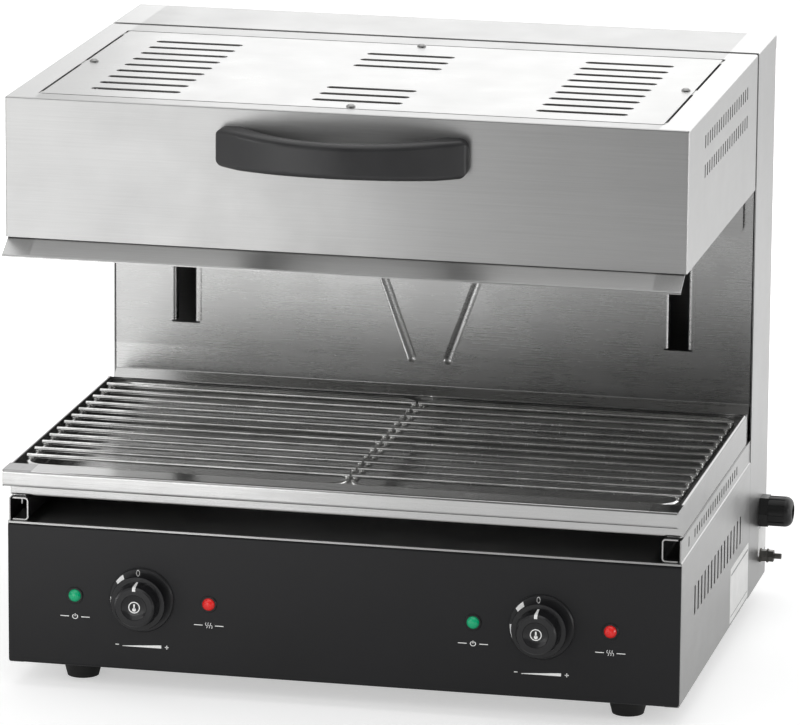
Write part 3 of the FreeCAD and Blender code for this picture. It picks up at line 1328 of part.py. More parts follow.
def light_lenses(side):
    """Domed lenses on one side of the knobs."""
    seat = LENS_SEAT - BEZEL_HEIGHT + FIT
    profile = [(0, seat), (LENS_RADIUS, seat), (LENS_RADIUS, BEZEL_HEIGHT)]
    for radius, rise in ((0.92, 0.36), (0.72, 0.70), (0.40, 0.93), (0, 1)):
        profile.append((LENS_RADIUS * radius, BEZEL_HEIGHT + LENS_HEIGHT * rise))
    return group(revolve(profile, Vector(x + side * LIGHT_OFFSET, FRONT, KNOB_Z), FORWARD)
                 for x in knob_places())


# Mains entry and bonding stud
def gland_z():
    """Height of the cable gland."""
    return BASE + GLAND_ABOVE_BASE


def cable_gland_body():
    """Gland body: a hexagon against the column side and a threaded neck with a lock nut inside."""
    inner = HALF - SHEET - LOCKNUT_LENGTH - FIT
    thread = rod(GLAND_THREAD_RADIUS, (inner, ENTRY_Y, gland_z()), "x", HALF - inner + GLAND_HEX_LENGTH + 4)
    flange = hexagon(GLAND_HEX, (HALF + FIT, ENTRY_Y, gland_z()), "x", GLAND_HEX_LENGTH)
    nut = hexagon(GLAND_HEX, (inner, ENTRY_Y, gland_z()), "x", LOCKNUT_LENGTH)
    bore = rod(GLAND_BORE_RADIUS, (inner - 1, ENTRY_Y, gland_z()), "x", GLAND_THREAD_RADIUS * 5)
    return fuse([thread, flange, nut]).cut(bore)


def cable_gland_nut():
    """Ribbed dome nut that closes the gland."""
    start = HALF + FIT * 2 + GLAND_HEX_LENGTH
    length = GLAND_NUT_LENGTH
    centre = Vector(start, ENTRY_Y, gland_z())
    outer_radius = GLAND_NUT_RADIUS
    neck = GLAND_THREAD_RADIUS + FIT
    drop = GLAND_NUT_ROUND * (1 - math.sqrt(0.5))
    outer = [centre + Vector(0, outer_radius, 0), centre + Vector(length - GLAND_NUT_ROUND, outer_radius, 0)]
    arc_middle = centre + Vector(length - drop, outer_radius - drop, 0)
    arc_end = centre + Vector(length, outer_radius - GLAND_NUT_ROUND, 0)
    mouth = centre + Vector(length, GLAND_BORE_RADIUS, 0)
    throat = centre + Vector(GLAND_NUT_SEAT, GLAND_BORE_RADIUS, 0)
    seat = centre + Vector(GLAND_NUT_SEAT, neck, 0)
    edges = [Part.makeLine(outer[0], outer[1]), Part.Arc(outer[1], arc_middle, arc_end).toShape(),
             Part.makeLine(arc_end, mouth), Part.makeLine(mouth, throat), Part.makeLine(throat, seat),
             Part.makeLine(seat, centre + Vector(0, neck, 0)),
             Part.makeLine(centre + Vector(0, neck, 0), outer[0])]
    nut = Part.Face(Part.Wire(edges)).revolve(centre, ALONG["x"], 360)
    grooves = []
    half = GLAND_RIB_GAP / 2
    for i in range(GLAND_RIBS):
        low = (start - 1, ENTRY_Y - half, gland_z() + outer_radius - GLAND_RIB_DEPTH)
        groove = box(low, (start + length * GLAND_RIB_SHARE, ENTRY_Y + half, low[2] + outer_radius))
        groove.rotate(centre, ALONG["x"], 360 * i / GLAND_RIBS)
        grooves.append(groove)
    return nut.cut(group(grooves))


def bonding_stud():
    """Stud through the column side: threaded under its nuts, with a thinner free end."""
    start = HALF - SHEET - STUD_NUT_LENGTH - FIT
    shoulder = HALF + 2 * (WASHER_LENGTH + STUD_NUT_LENGTH) + 4 * FIT + EASE
    z = BASE + STUD_ABOVE_BASE
    thread = rod(STUD_RADIUS, (start, ENTRY_Y, z), "x", shoulder - start)
    tip = rod(STUD_TIP_RADIUS, (start, ENTRY_Y, z), "x", HALF + STUD_LENGTH - start)
    return fuse([thread, tip])


def bonding_nuts():
    """Nuts and washers of the bonding stud, one nut inside and two outside."""
    z = BASE + STUD_ABOVE_BASE
    outside = HALF + FIT
    second = outside + WASHER_LENGTH + STUD_NUT_LENGTH + FIT * 2
    inside = HALF - SHEET - FIT - STUD_NUT_LENGTH
    pieces = [hexagon(STUD_NUT, (inside, ENTRY_Y, z), "x", STUD_NUT_LENGTH)]
    for start in (outside, second):
        pieces.append(rod(WASHER_RADIUS, (start, ENTRY_Y, z), "x", WASHER_LENGTH))
        pieces.append(hexagon(STUD_NUT, (start + WASHER_LENGTH + FIT, ENTRY_Y, z), "x", STUD_NUT_LENGTH))
    bore = rod(STUD_RADIUS + FIT / 2, (HALF - 2 * STUD_NUT, ENTRY_Y, z), "x", STUD_LENGTH * 3)
    return group(piece.cut(bore) for piece in pieces)


def terminal_block():
    """Mains terminal block on the floor pan beside the gland."""
    low = PAN_Z + SHEET + FIT
    half = BLOCK_LENGTH / 2
    block = box((BLOCK_X - half, ENTRY_Y - BLOCK_DEPTH / 2, low),
                (BLOCK_X + half, ENTRY_Y + BLOCK_DEPTH / 2, low + BLOCK_HEIGHT))
    cutters = []
    pitch = BLOCK_LENGTH / BLOCK_WAYS
    for i in range(BLOCK_WAYS):
        x = BLOCK_X - half + (i + 0.5) * pitch
        cutters.append(rod(pitch * 0.3, (x, ENTRY_Y, low + BLOCK_HEIGHT * 0.5), "z", BLOCK_HEIGHT))
    return block.cut(group(cutters))


def build():
    """Every node of the grill by name."""
    side = base_side()
    rail = tray_rail()
    grid = grill_grid()
    element = heating_element()
    nodes = {
        "feet": feet(),
        "foot_nuts": foot_nuts(),
        "base_floor_pan": floor_pan(),
        "base_side_left": mirror(side),
        "base_side_right": side,
        "control_panel": control_panel(),
        "base_deck": base_deck(),
        "tray_rail_left": mirror(rail),
        "tray_rail_right": rail,
        "grease_tray": grease_tray(),
        "grid_rests": grid_rests(),
        "grill_grid_left": mirror(grid),
        "grill_grid_right": grid,
        "column_shell": column_shell(),
        "column_front_panel": column_front(),
        "column_back_cover": back_cover(),
        "back_cover_screws": back_cover_screws(),
        "guide_rod_left": guide_rod(-1),
        "guide_rod_right": guide_rod(1),
        "guide_rod_brackets": rod_brackets(),
        "lift_carriage": lift_carriage(),
        "carriage_bushes": carriage_bushes(),
        "lift_arm_left": lift_arm(-1),
        "lift_arm_right": lift_arm(1),
        "pulley_left": pulley(-1),
        "pulley_right": pulley(1),
        "pulley_brackets": pulley_brackets(),
        "pulley_axles": pulley_axles(),
        "cable_wraps": cable_wraps(),
        "lift_cables_front": front_cables(),
        "lift_cables_back": back_cables(),
        "counterweight": counterweight(),
        "counterweight_guides": weight_guides(),
        "head_casing": head_casing(),
        "head_top_cover": head_top_cover(),
        "head_cover_screws": head_cover_screws(),
        "head_deflector": head_deflector(),
        "head_rear_shield": head_rear_shield(),
        "handle": handle(),
        "handle_screws": handle_screws(),
        "reflector_pan": reflector_pan(),
        "insulation_slab": insulation(),
        "heating_element_left": mirror(element),
        "heating_element_right": element,
        "element_terminals": element_terminals(),
        "element_supports": element_supports(),
        "dial_rings": dial_rings(),
        "knob_left": knob(-KNOB_X),
        "knob_right": knob(KNOB_X),
        "thermostat_shaft_left": thermostat_shaft(-KNOB_X),
        "thermostat_shaft_right": thermostat_shaft(KNOB_X),
        "thermostats": thermostats(),
        "pilot_light_housings": light_housings(),
        "power_light_lenses": light_lenses(-1),
        "heat_light_lenses": light_lenses(1),
        "cable_gland_body": cable_gland_body(),
        "cable_gland_nut": cable_gland_nut(),
        "bonding_stud": bonding_stud(),
        "bonding_nuts": bonding_nuts(),
        "terminal_block": terminal_block(),
    }
    return nodes


def origin_shift():
    """Move from the middle of the body to the middle of the overall box."""
    gland_reach = 2 * FIT + GLAND_HEX_LENGTH + GLAND_NUT_LENGTH
    handle_reach = FIT + HANDLE_REACH
    return Vector(-gland_reach / 2, (handle_reach - SCREW_HEAD_HEIGHT) / 2, 0)


def export(nodes):
    """Write one STEP file per node, in the part's frame."""
    os.makedirs("parts", exist_ok=True)
    for name, shape in nodes.items():
        shape.translate(origin_shift())
        shape.exportStep(os.path.join("parts", name + ".step"))


export(build())
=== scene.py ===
import math

import bmesh
import bpy
from bpy.props import FloatProperty, FloatVectorProperty, PointerProperty
from bpy.types import Operator, Panel, PropertyGroup
from mathutils import Matrix, Vector


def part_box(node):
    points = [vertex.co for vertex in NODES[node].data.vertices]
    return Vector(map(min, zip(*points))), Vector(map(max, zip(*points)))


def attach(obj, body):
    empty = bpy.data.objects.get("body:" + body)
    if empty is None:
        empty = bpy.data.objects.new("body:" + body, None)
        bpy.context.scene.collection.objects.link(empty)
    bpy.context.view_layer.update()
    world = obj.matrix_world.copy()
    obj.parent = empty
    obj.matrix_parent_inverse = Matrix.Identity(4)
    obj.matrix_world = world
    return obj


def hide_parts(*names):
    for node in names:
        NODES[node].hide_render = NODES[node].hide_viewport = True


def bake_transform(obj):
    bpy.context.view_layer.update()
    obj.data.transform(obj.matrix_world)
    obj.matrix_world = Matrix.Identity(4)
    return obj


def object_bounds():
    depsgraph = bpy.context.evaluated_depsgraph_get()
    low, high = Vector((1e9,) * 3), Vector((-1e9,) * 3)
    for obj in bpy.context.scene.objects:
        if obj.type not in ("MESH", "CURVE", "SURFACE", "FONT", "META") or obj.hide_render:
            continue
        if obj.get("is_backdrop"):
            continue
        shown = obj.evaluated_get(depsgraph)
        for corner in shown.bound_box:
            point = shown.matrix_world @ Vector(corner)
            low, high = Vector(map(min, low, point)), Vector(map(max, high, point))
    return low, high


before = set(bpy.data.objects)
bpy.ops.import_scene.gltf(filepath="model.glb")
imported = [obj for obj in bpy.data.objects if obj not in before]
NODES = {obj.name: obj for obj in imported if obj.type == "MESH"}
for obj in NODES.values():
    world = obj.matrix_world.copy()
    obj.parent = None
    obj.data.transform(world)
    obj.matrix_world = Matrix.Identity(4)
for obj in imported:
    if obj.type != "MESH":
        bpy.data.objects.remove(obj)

bl_info = {
    "name": "Salamander Grill Dressing",
    "version": (1, 0, 0),
    "blender": (4, 5, 0),
    "location": "View3D > Sidebar > Grill",
    "description": "Finishes, printed marks, small trim and studio for a counter-top salamander grill",
    "category": "Object",
}

CAD_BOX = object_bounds()
BODY_MIDDLE = (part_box("head_casing")[0].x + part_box("head_casing")[1].x) / 2
FLANGE_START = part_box("head_top_cover")[1].x - BODY_MIDDLE
SIDES = ("left", "right")
QUARTER_TURN = math.radians(90)
IN_PLACE = Matrix.Identity(4)
WHITE = (1.0, 1.0, 1.0)

# Sizes and places of the small trim, in metres and degrees

PRINT_RISE = 0.00012
THICK_PRINT = PRINT_RISE * 2
NOUGHT_LINE = 0.0006
NOUGHT_PLACE = (-0.0026, 0.0246, 0)
BLOCK_OUTER, BLOCK_OUTER_ANGLES = 0.0276, (126, 135.5, 145)
BLOCK_INNER, BLOCK_INNER_ANGLES = 0.0226, (150, 131)
WEDGE_INNER, WEDGE_OUTER = 0.0250, 0.0277
WEDGE_START, WEDGE_SWEEP, WEDGE_TAPER = 177, 75, 0.9
DISH_PROFILE = ((0.0112, 0.0), (0.0104, 0.00045), (0.0092, 0.00095), (0.0078, 0.0014), (0.0062, 0.0017),
                (0.0, 0.0018))
DISH_RISE = 0.00005
ICON_DEPTH = 0.00185
KNOB_EDGE, KNOB_EDGE_ANGLE = 0.0007, 25
ICON_LINE = 0.00085
BULB_RADIUS, BULB_DROP = 0.0017, 0.0020
STEM_HALF, STEM_START, STEM_END = 0.0007, -0.0012, 0.0030
POINTER_PATH = ((0.0122, 0.0201), (0.0014, 0.0183), (-0.0002, 0.0167), (-0.0002, 0.0150))
POINTER_BACK, POINTER_DROP, POINTER_TAPER = 0.0008, 0.0010, 0.55
SYMBOL_SCALE = 1.17
LIGHT_SYMBOL_STRETCH = (1.4, 1.2, 1.0, 1.0)
LINE_HALF = 0.0003
SCALE_WEDGE = ((-0.015, -0.0011), (0.015, -0.0011), (0.015, 0.0013), (-0.015, -0.0007))
MINUS_START, MINUS_END = -0.0205, -0.0178
PLUS_START, PLUS_END, PLUS_HALF = 0.0178, 0.0208, 0.0015
SIDE_BAR_STARTS, SIDE_BAR_LENGTH = (-0.0095, 0.0040), 0.0055
POWER_RING_INNER, POWER_RING_OUTER = 0.0014, 0.0019
POWER_BAR_HALF, POWER_BAR_START, POWER_BAR_END = 0.00028, 0.0002, 0.0022
WAVE_PITCH, WAVE_RISE, WAVE_SQUEEZE = 0.0016, 0.00095, 0.6
WAVE_INNER, WAVE_OUTER = 0.00075, 0.00125
LABEL_BACK, LABEL_UP, LABEL_WIDTH, LABEL_HEIGHT = 0.1020, 0.051, 0.098, 0.051
STICKER_BACK, STICKER_UP, STICKER_WIDTH, STICKER_HEIGHT = 0.2285, 0.060, 0.042, 0.026
LABEL_THICKNESS, LABEL_SUNK, LABEL_CORNER = 0.00025, 0.00005, 0.002
RULE_HEIGHTS, RULE_REACH, RULE_WIDTH = (0.0195, 0.0185, -0.0200), 0.045, 0.0005
CROSS_ARM, CROSS_HALF, CROSS_TAPER = 0.0021, 0.00045, 0.6
CROSS_RISE, CROSS_SUNK = 0.00045, 0.00047
SCREW_REACH, SCREW_CROWN = 0.012, 0.0004
WELD_INSET, WELD_DROP, WELD_STRETCH = 0.0022, 0.0036, (0.75, 1.15, 0.8, 1.0)
WIRE_CROWN, WIRE_APART = 0.00005, 0.005

# Lamps: name, place, point faced, width and height in metres, and the setting of the power

SOFTBOXES = (
    ("left_softbox", (-0.80, -1.15, 0.56), (-0.80, 0.0, 0.56), (1.1, 1.1), "left"),
    ("top_softbox", (0.0, -0.2, 2.3), (0.0, 0.0, 0.2), (2.2, 2.0), "top"),
    ("right_softbox", (1.5, 0.9, 0.7), (0.2, 0.0, 0.3), (1.2, 1.4), "right"),
    ("back_softbox", (0.25, 2.1, 1.1), (0.1, 0.0, 0.3), (2.2, 1.6), "back"),
    ("low_card", (-1.0, -1.85, 0.02), (-1.0, -1.85, 1.0), (1.4, 1.5), "card"),
    ("column_card", (-0.78, -1.15, 0.10), (-0.78, 0.0, 0.10), (1.15, 0.1), "low"),
    ("glint_softbox", (-1.85, -1.15, 0.85), (0.0, -0.2, 0.1), (0.35, 0.35), "glint"),
    ("left_strip", (-1.9, 0.25, 0.45), (0.0, 0.1, 0.3), (0.5, 0.7), "strip"),
    ("right_strip", (1.9, -0.35, 0.38), (0.0, 0.0, 0.3), (0.5, 0.7), "strip"),
    ("front_softbox", (0.9, -3.0, 1.7), (0.0, 0.0, 0.25), (2.2, 1.6), "front"),
)
FLOOR_REACH = 40.0
SENSOR_WIDTH = 36.0


# User settings

def tint(name, description, *colour):
    """Setting for a colour."""
    return FloatVectorProperty(
        name=name, description=description, subtype="COLOR", min=0, max=1, default=colour)


def length(name, description, value):
    """Setting for a length."""
    return FloatProperty(
        name=name, description=description, subtype="DISTANCE", unit="LENGTH", default=value)


def angle(name, description, degrees):
    """Setting for an angle."""
    return FloatProperty(
        name=name, description=description, subtype="ANGLE", unit="ROTATION", default=math.radians(degrees))


def amount(name, description, value):
    """Setting for a light's power or strength."""
    return FloatProperty(name=name, description=description, min=0, default=value)


class GrillFinishes(PropertyGroup):
    """Colours and gloss of the grill's surfaces."""
    sheet_colour: tint("Outer sheet", "Colour of the brushed outer sheets", 0.50, 0.50, 0.495)
    sheet_roughness: FloatProperty(
        name="Outer roughness", description="Roughness of the brushed outer sheets",
        subtype="FACTOR", min=0, max=1, default=0.33)
    inner_colour: tint("Inner sheet", "Colour of the plain mill-finish parts", 0.42, 0.42, 0.41)
    enamel_colour: tint("Front panel", "Colour of the powder-coated front panel", 0.008, 0.008, 0.009)
    wire_colour: tint("Grid wire", "Colour of the plated grid wires", 0.78, 0.78, 0.77)
    handle_colour: tint("Handle", "Colour of the moulded handle", 0.019, 0.019, 0.020)
    knob_colour: tint("Knobs", "Colour of the moulded knobs and dials", 0.011, 0.011, 0.012)
    print_colour: tint("Print", "Colour of the printed marks", 0.95, 0.95, 0.94)
    power_colour: tint("Power lens", "Colour of the power light's lens", 0.0, 0.30, 0.13)
    heat_colour: tint("Heat lens", "Colour of the heating light's lens", 0.60, 0.012, 0.010)


class GrillMarks(PropertyGroup):
    """Sizes of the printed marks and small trim."""
    zero_height: length("Nought height", "Height of the figure nought on each dial", 0.0058)
    zero_width: length("Nought width", "Width of the figure nought on each dial", 0.0031)
    pointer_width: length("Pointer width", "Width of the line on each knob", 0.0028)
    icon_radius: length("Knob ring radius", "Outer radius of the ring in each knob's dish", 0.0052)
    symbol_drop: length("Knob symbol drop", "Distance of a knob's symbol below its middle", 0.042)
    light_symbol_drop: length("Light symbol drop", "Distance of a light's symbol below its middle", 0.0193)
    weld_radius: length("Weld radius", "Radius of a spot weld on the grids", 0.0021)


class GrillStudio(PropertyGroup):
    """Camera and light values of the studio."""
    azimuth: angle("Azimuth", "Camera angle to the right of straight ahead", 12.4)
    elevation: angle("Elevation", "Camera angle above the horizon", 13.62)
    roll: angle("Roll", "Camera turn about its own axis", 0.44)
    distance: length("Distance", "Camera distance from the point it looks at", 5.66065)
    aim: FloatVectorProperty(
        name="Aim", description="Point that the camera looks at",
        subtype="TRANSLATION", unit="LENGTH", default=(-0.00765, -0.00618, 0.2648))
    lens: FloatProperty(
        name="Lens", description="Focal length in millimetres on a 36 mm wide sensor",
        min=1, default=285.33)
    left_power: amount("Left softbox", "Power of the softbox at the left front", 2.9)
    top_power: amount("Top softbox", "Power of the softbox overhead", 11.0)
    right_power: amount("Right softbox", "Power of the softbox at the right", 5.2)
    back_power: amount("Back softbox", "Power of the softbox behind", 9.0)
    card_power: amount("Low card", "Power of the lit card on the floor at the left front", 5.8)
    low_power: amount("Column card", "Power of the low upright card that the column shows", 1.0)
    glint_power: amount("Glint softbox", "Power of the small softbox at the left front", 4.0)
    strip_power: amount("Side strips", "Power of each upright strip at the sides", 3.5)
    front_power: amount("Front softbox", "Power of the front softbox, which metal doesn't show", 24.0)
    fill: amount("Fill", "Strength of the even light from all round", 0.40)
    front_share: FloatProperty(
        name="Front share", description="Share of the white surroundings that metal shows from in front",
        min=0, max=1, default=0.19)


# Material building

MIX_SOCKETS = {"FLOAT": (2, 0), "VECTOR": (4, 1), "RGBA": (6, 2)}


class Shading:
    """A node tree in the making."""

    def __init__(self, tree):
        self.tree = tree
        tree.nodes.clear()

    def feed(self, socket, value):
        """Joins a socket to another one, or sets its number or colour."""
        if isinstance(value, bpy.types.NodeSocket):
            self.tree.links.new(value, socket)
        elif socket.type == "RGBA":
            socket.default_value = (*value, 1.0)
        else:
            socket.default_value = value

    def fill(self, node, inputs):
        """Sets a node's inputs by name, underscores standing for spaces."""
        for name, value in inputs.items():
            self.feed(node.inputs[name.replace("_", " ")], value)
        return node

    def node(self, kind, **inputs):
        """New node with its inputs set."""
        return self.fill(self.tree.nodes.new(kind), inputs)

    def calculate(self, kind, operation, values):
        """Outputs of a node that works on values."""
        node = self.tree.nodes.new(kind)
        node.operation = operation
        for socket, value in zip(node.inputs, values):
            self.feed(socket, value)
        return node.outputs

    def maths(self, operation, *values):
        """Result of a Math node."""
        return self.calculate("ShaderNodeMath", operation, values)["Value"]

    def axes(self, vector):
        """Parts of a vector along X, Y and Z."""
        return self.node("ShaderNodeSeparateXYZ", Vector=vector).outputs

    def spread(self, value, low=0.0, high=1.0, start=0.3, end=0.7):
        """The part of a value from start to end spread over low to high."""
        node = self.node("ShaderNodeMapRange", Value=value, From_Min=start, From_Max=end, To_Min=low,
                         To_Max=high)
        return node.outputs["Result"]

    def mix(self, factor, first, second, mode="MIX", kind="RGBA"):
        """Mix of two colours, vectors or numbers."""
        start, result = MIX_SOCKETS[kind]
        node = self.tree.nodes.new("ShaderNodeMix")
        node.data_type = kind
        node.blend_type = mode
        for index, value in ((0, factor), (start, first), (start + 1, second)):
            self.feed(node.inputs[index], value)
        return node.outputs[result]


class Finish(Shading):
    """A material in the making, with its Principled shader."""

    def __init__(self, name):
        self.material = bpy.data.materials.new(name)
        self.material.use_nodes = True
        super().__init__(self.material.node_tree)
        self.shader = self.node("ShaderNodeBsdfPrincipled")
        self.node("ShaderNodeOutputMaterial", Surface=self.shader.outputs["BSDF"])
        self.place = self.node("ShaderNodeTexCoord").outputs["Object"]

    def stretch(self, *scale):
        """Place stretched by a factor along each axis."""
        return self.node("ShaderNodeMapping", Vector=self.place, Scale=scale).outputs["Vector"]

    def noise(self, scale, detail=3.0, rough=0.55, place=None):
        """Noise from 0 to 1, most of it near 0.5."""
        node = self.node("ShaderNodeTexNoise", Vector=place or self.place, Scale=scale, Detail=detail,
                         Roughness=rough)
        return node.outputs["Fac"]

    def shades(self, value, colour, darkest, lightest):
        """Colour that runs between two shades of itself with a value."""
        low, high = (tuple(min(1.0, part * share) for part in colour) for share in (darkest, lightest))
        return self.mix(value, low, high)

    def bump(self, height, strength, distance):
        """Normal bent by a height."""
        node = self.node("ShaderNodeBump", Height=height, Strength=strength, Distance=distance)
        return node.outputs["Normal"]

    def patchy(self, patches, colour, shades, roughness, relief, gloss=None, **inputs):
        """Gives the material a colour and a gloss that vary in patches, over a fine relief."""
        return self.done(
            Base_Color=self.shades(self.spread(patches), colour, *shades),
            Roughness=self.spread(gloss or patches, *roughness), Normal=self.bump(*relief), **inputs)

    def done(self, **inputs):
        """Sets the shader's inputs and gives the material."""
        self.fill(self.shader, inputs)
        return self.material


def sheet_grain(finish, flanges, along=11.0, across=900.0, facing_share=0.7):
    """Brushing lines, the way across them, and the mask of where they run along Y instead of X."""
    normal = finish.node("ShaderNodeNewGeometry").outputs["Normal"]
    facing = finish.axes(normal)
    sideways = finish.maths("GREATER_THAN", finish.maths("ABSOLUTE", facing["X"]), facing_share)
    if flanges:
        offset = finish.maths("SUBTRACT", finish.axes(finish.place)["X"], BODY_MIDDLE)
        outside = finish.maths("GREATER_THAN", finish.maths("ABSOLUTE", offset), FLANGE_START)
        upward = finish.maths("GREATER_THAN", facing["Z"], facing_share)
        sideways = finish.maths("MAXIMUM", sideways, finish.maths("MULTIPLY", outside, upward))
    along_x = finish.stretch(along, across, across)
    along_y = finish.stretch(across, along, across)
    place = finish.mix(sideways, along_x, along_y, kind="VECTOR")
    coarse = finish.noise(1.0, detail=4.0, rough=0.65, place=place)
    fine = finish.noise(2.6, detail=2.0, place=place)
    lines = finish.maths("ADD", finish.maths("MULTIPLY", coarse, 0.6), finish.maths("MULTIPLY", fine, 0.4))
    grain = finish.mix(sideways, (1.0, 0.0, 0.0), (0.0, 1.0, 0.0), kind="VECTOR")
    crossways = finish.calculate("ShaderNodeVectorMath", "CROSS_PRODUCT", (normal, grain))["Vector"]
    return lines, crossways, sideways


def brushed_sheet(name, colour, roughness, contrast=0.05, anisotropy=0.6, flanges=True, side_shade_share=1.0):
    """Stainless sheet with fine brushing, faint clouds of tone and handling smudges in its gloss, its faces
    that look along X darkened by the side shade share as painted shade.
    """
    finish = Finish(name)
    lines, crossways, sideways = sheet_grain(finish, flanges)
    tone = finish.shades(finish.spread(lines, start=0.36, end=0.64), colour, 1 - contrast, 1 + contrast)
    clouds = finish.mix(finish.spread(finish.noise(5.0)), (0.95, 0.95, 0.955), WHITE)
    # Painted shade: faces that look along X take the side shade share as a darker colour.
    painted_side_shade = finish.mix(sideways, WHITE, (side_shade_share, side_shade_share, side_shade_share))
    smudges = finish.spread(finish.noise(21.0, detail=5.0, rough=0.6), -0.025, 0.035)
    rough = finish.maths("ADD", finish.spread(lines, roughness - 0.03, roughness + 0.04), smudges)
    return finish.done(
        Base_Color=finish.mix(1.0, finish.mix(1.0, tone, clouds, "MULTIPLY"), painted_side_shade, "MULTIPLY"),
        Metallic=1.0, Roughness=rough,
        Anisotropic=anisotropy, Tangent=crossways, Normal=finish.bump(lines, 0.045, 0.0002))


def mill_sheet(name, colour, roughness):
    """Plain rolled sheet: dull, with a slight mottle and rolling marks."""
    finish = Finish(name)
    rolling = finish.noise(1.0, detail=3.0, place=finish.stretch(30.0, 260.0, 260.0))
    mottle = finish.noise(70.0, detail=4.0)
    return finish.patchy(mottle, colour, (0.9, 1.08), (roughness - 0.06, roughness + 0.08),
                         (mottle, 0.08, 0.0003), gloss=rolling, Metallic=1.0)


def shaded_rail(name, colour, edge_colour):
    """Galvanised sheet, painted dark as the shade inside the rails, whose sawn front edges are bright."""
    finish = Finish(name)
    ahead = finish.axes(finish.node("ShaderNodeNewGeometry").outputs["Normal"])["Y"]
    sawn = finish.maths("LESS_THAN", ahead, -0.9)
    spangle = finish.noise(90.0, detail=4.0)
    # Painted shade: the dark tone stands for the shade inside the rails; front-facing cut edges take the
    # light edge colour.
    tone = finish.shades(finish.spread(spangle), colour, 0.75, 1.15)
    return finish.done(
        Base_Color=finish.mix(sawn, tone, edge_colour), Metallic=1.0,
        Roughness=finish.spread(spangle, 0.4, 0.55), Normal=finish.bump(spangle, 0.1, 0.0003))


def powder_coat(name, colour, roughness):
    """Black powder coat with a fine orange-peel surface and a little dust."""
    finish = Finish(name)
    dust = finish.noise(9.0, detail=6.0, rough=0.65)
    peel = finish.noise(620.0, detail=2.0)
    return finish.patchy(dust, colour, (0.85, 1.25), (roughness - 0.04, roughness + 0.05),
                         (peel, 0.22, 0.00025), IOR=1.42)


def moulded_plastic(name, colour, roughness, grain, depth):
    """Spark-textured moulding with soft wear in its gloss."""
    finish = Finish(name)
    rub = finish.noise(34.0, detail=4.0)
    texture = finish.noise(grain, detail=2.0)
    return finish.patchy(rub, colour, (0.88, 1.18), (roughness - 0.05, roughness + 0.06),
                         (texture, depth, 0.00015), IOR=1.49)


def turned_metal(name, colour, roughness, pitch):
    """Bright turned or plated metal with fine tool rings and dull spots."""
    finish = Finish(name)
    spots = finish.noise(130.0, detail=4.0)
    rings = finish.noise(1.0, detail=2.0, place=finish.stretch(pitch, pitch, pitch * 0.15))
    return finish.patchy(spots, colour, (0.82, 1.1), (roughness - 0.05, roughness + 0.09),
                         (rings, 0.1, 0.0001), Metallic=1.0)


def plated_wire(name, colour, roughness):
    """Plated wire: bright, with drawing lines and darker patches from the heat."""
    finish = Finish(name)
    heat = finish.noise(28.0, detail=4.0)
    lines = finish.noise(340.0, detail=3.0)
    tone = finish.shades(finish.spread(heat, start=0.35, end=0.62), colour, 0.72, 1.12)
    return finish.done(
        Base_Color=tone, Metallic=1.0, Roughness=finish.spread(lines, roughness - 0.06, roughness + 0.08),
        Normal=finish.bump(lines, 0.06, 0.0002))


def laid_rope(name, colour):
    """Steel wire rope, its strands drawn as slanting ridges, with painted shade darkening the grooves
    between them.
    """
    finish = Finish(name)
    wave = finish.node("ShaderNodeTexWave", Vector=finish.stretch(900.0, 900.0, 420.0), Scale=0.35,
                       Distortion=0.6)
    wave.bands_direction = "DIAGONAL"
    strands = wave.outputs["Fac"]
    # Painted shade: the colour falls to 0.45 of itself in the grooves between the strands.
    return finish.done(
        Base_Color=finish.shades(strands, colour, 0.45, 1.1), Metallic=1.0,
        Roughness=finish.spread(strands, 0.5, 0.3, start=0.0, end=1.0),
        Normal=finish.bump(strands, 0.8, 0.0004))


def fired_sheath(name, colour):
    """Heater sheath dulled to a brown-grey oxide by its own heat."""
    finish = Finish(name)
    oxide = finish.noise(16.0, detail=5.0, rough=0.65)
    grit = finish.noise(420.0, detail=2.0)
    tone = finish.mix(finish.spread(oxide), colour, (0.13, 0.105, 0.09))
    return finish.done(
        Base_Color=tone, Metallic=0.75, Roughness=finish.spread(oxide, 0.42, 0.62),
        Normal=finish.bump(grit, 0.2, 0.0002))


def fibre_slab(name, colour):
    """Pressed mineral wool with matted fibres."""
    finish = Finish(name)
    fibres = finish.noise(1.0, detail=5.0, rough=0.7, place=finish.stretch(160.0, 160.0, 700.0))
    lumps = finish.noise(45.0, detail=4.0)
    tone = finish.shades(finish.spread(fibres), colour, 0.7, 1.15)
    return finish.done(
        Base_Color=finish.mix(finish.spread(lumps, high=0.35), tone, (0.36, 0.31, 0.2)),
        Roughness=0.95, Normal=finish.bump(fibres, 0.9, 0.001))


def glazed_ceramic(name, colour):
    """Off-white steatite with a thin uneven glaze."""
    finish = Finish(name)
    specks = finish.noise(260.0, detail=3.0)
    return finish.patchy(specks, colour, (0.9, 1.05), (0.22, 0.4), (specks, 0.08, 0.0002))


def clear_lens(name, colour, glow):
    """Coloured lens over a lit lamp: glossy, with painted shade darkening its colour toward the rim as the
    surface turns from view, so its middle looks brighter.
    """
    finish = Finish(name)
    facing = finish.node("ShaderNodeLayerWeight", Blend=0.35).outputs["Facing"]
    rays = finish.noise(900.0, detail=1.0)
    # Painted shade: the colour darkens to 0.35 of itself where the lens turns away from view.
    rim_shaded = finish.shades(finish.spread(facing, start=0.0, end=0.8), colour, 1.0, 0.35)
    return finish.done(
        Base_Color=rim_shaded, Roughness=0.1, Coat_Weight=0.35, Coat_Roughness=0.05, IOR=1.45,
        Emission_Color=finish.shades(rays, colour, 0.8, 1.15), Emission_Strength=glow,
        Normal=finish.bump(rays, 0.25, 0.0003))


def printed_ink(name, colour):
    """Screen-printed ink, slightly thin and uneven."""
    finish = Finish(name)
    cover = finish.noise(1500.0, detail=2.0)
    return finish.patchy(cover, colour, (0.86, 1.05), (0.45, 0.6), (cover, 0.1, 0.0001))


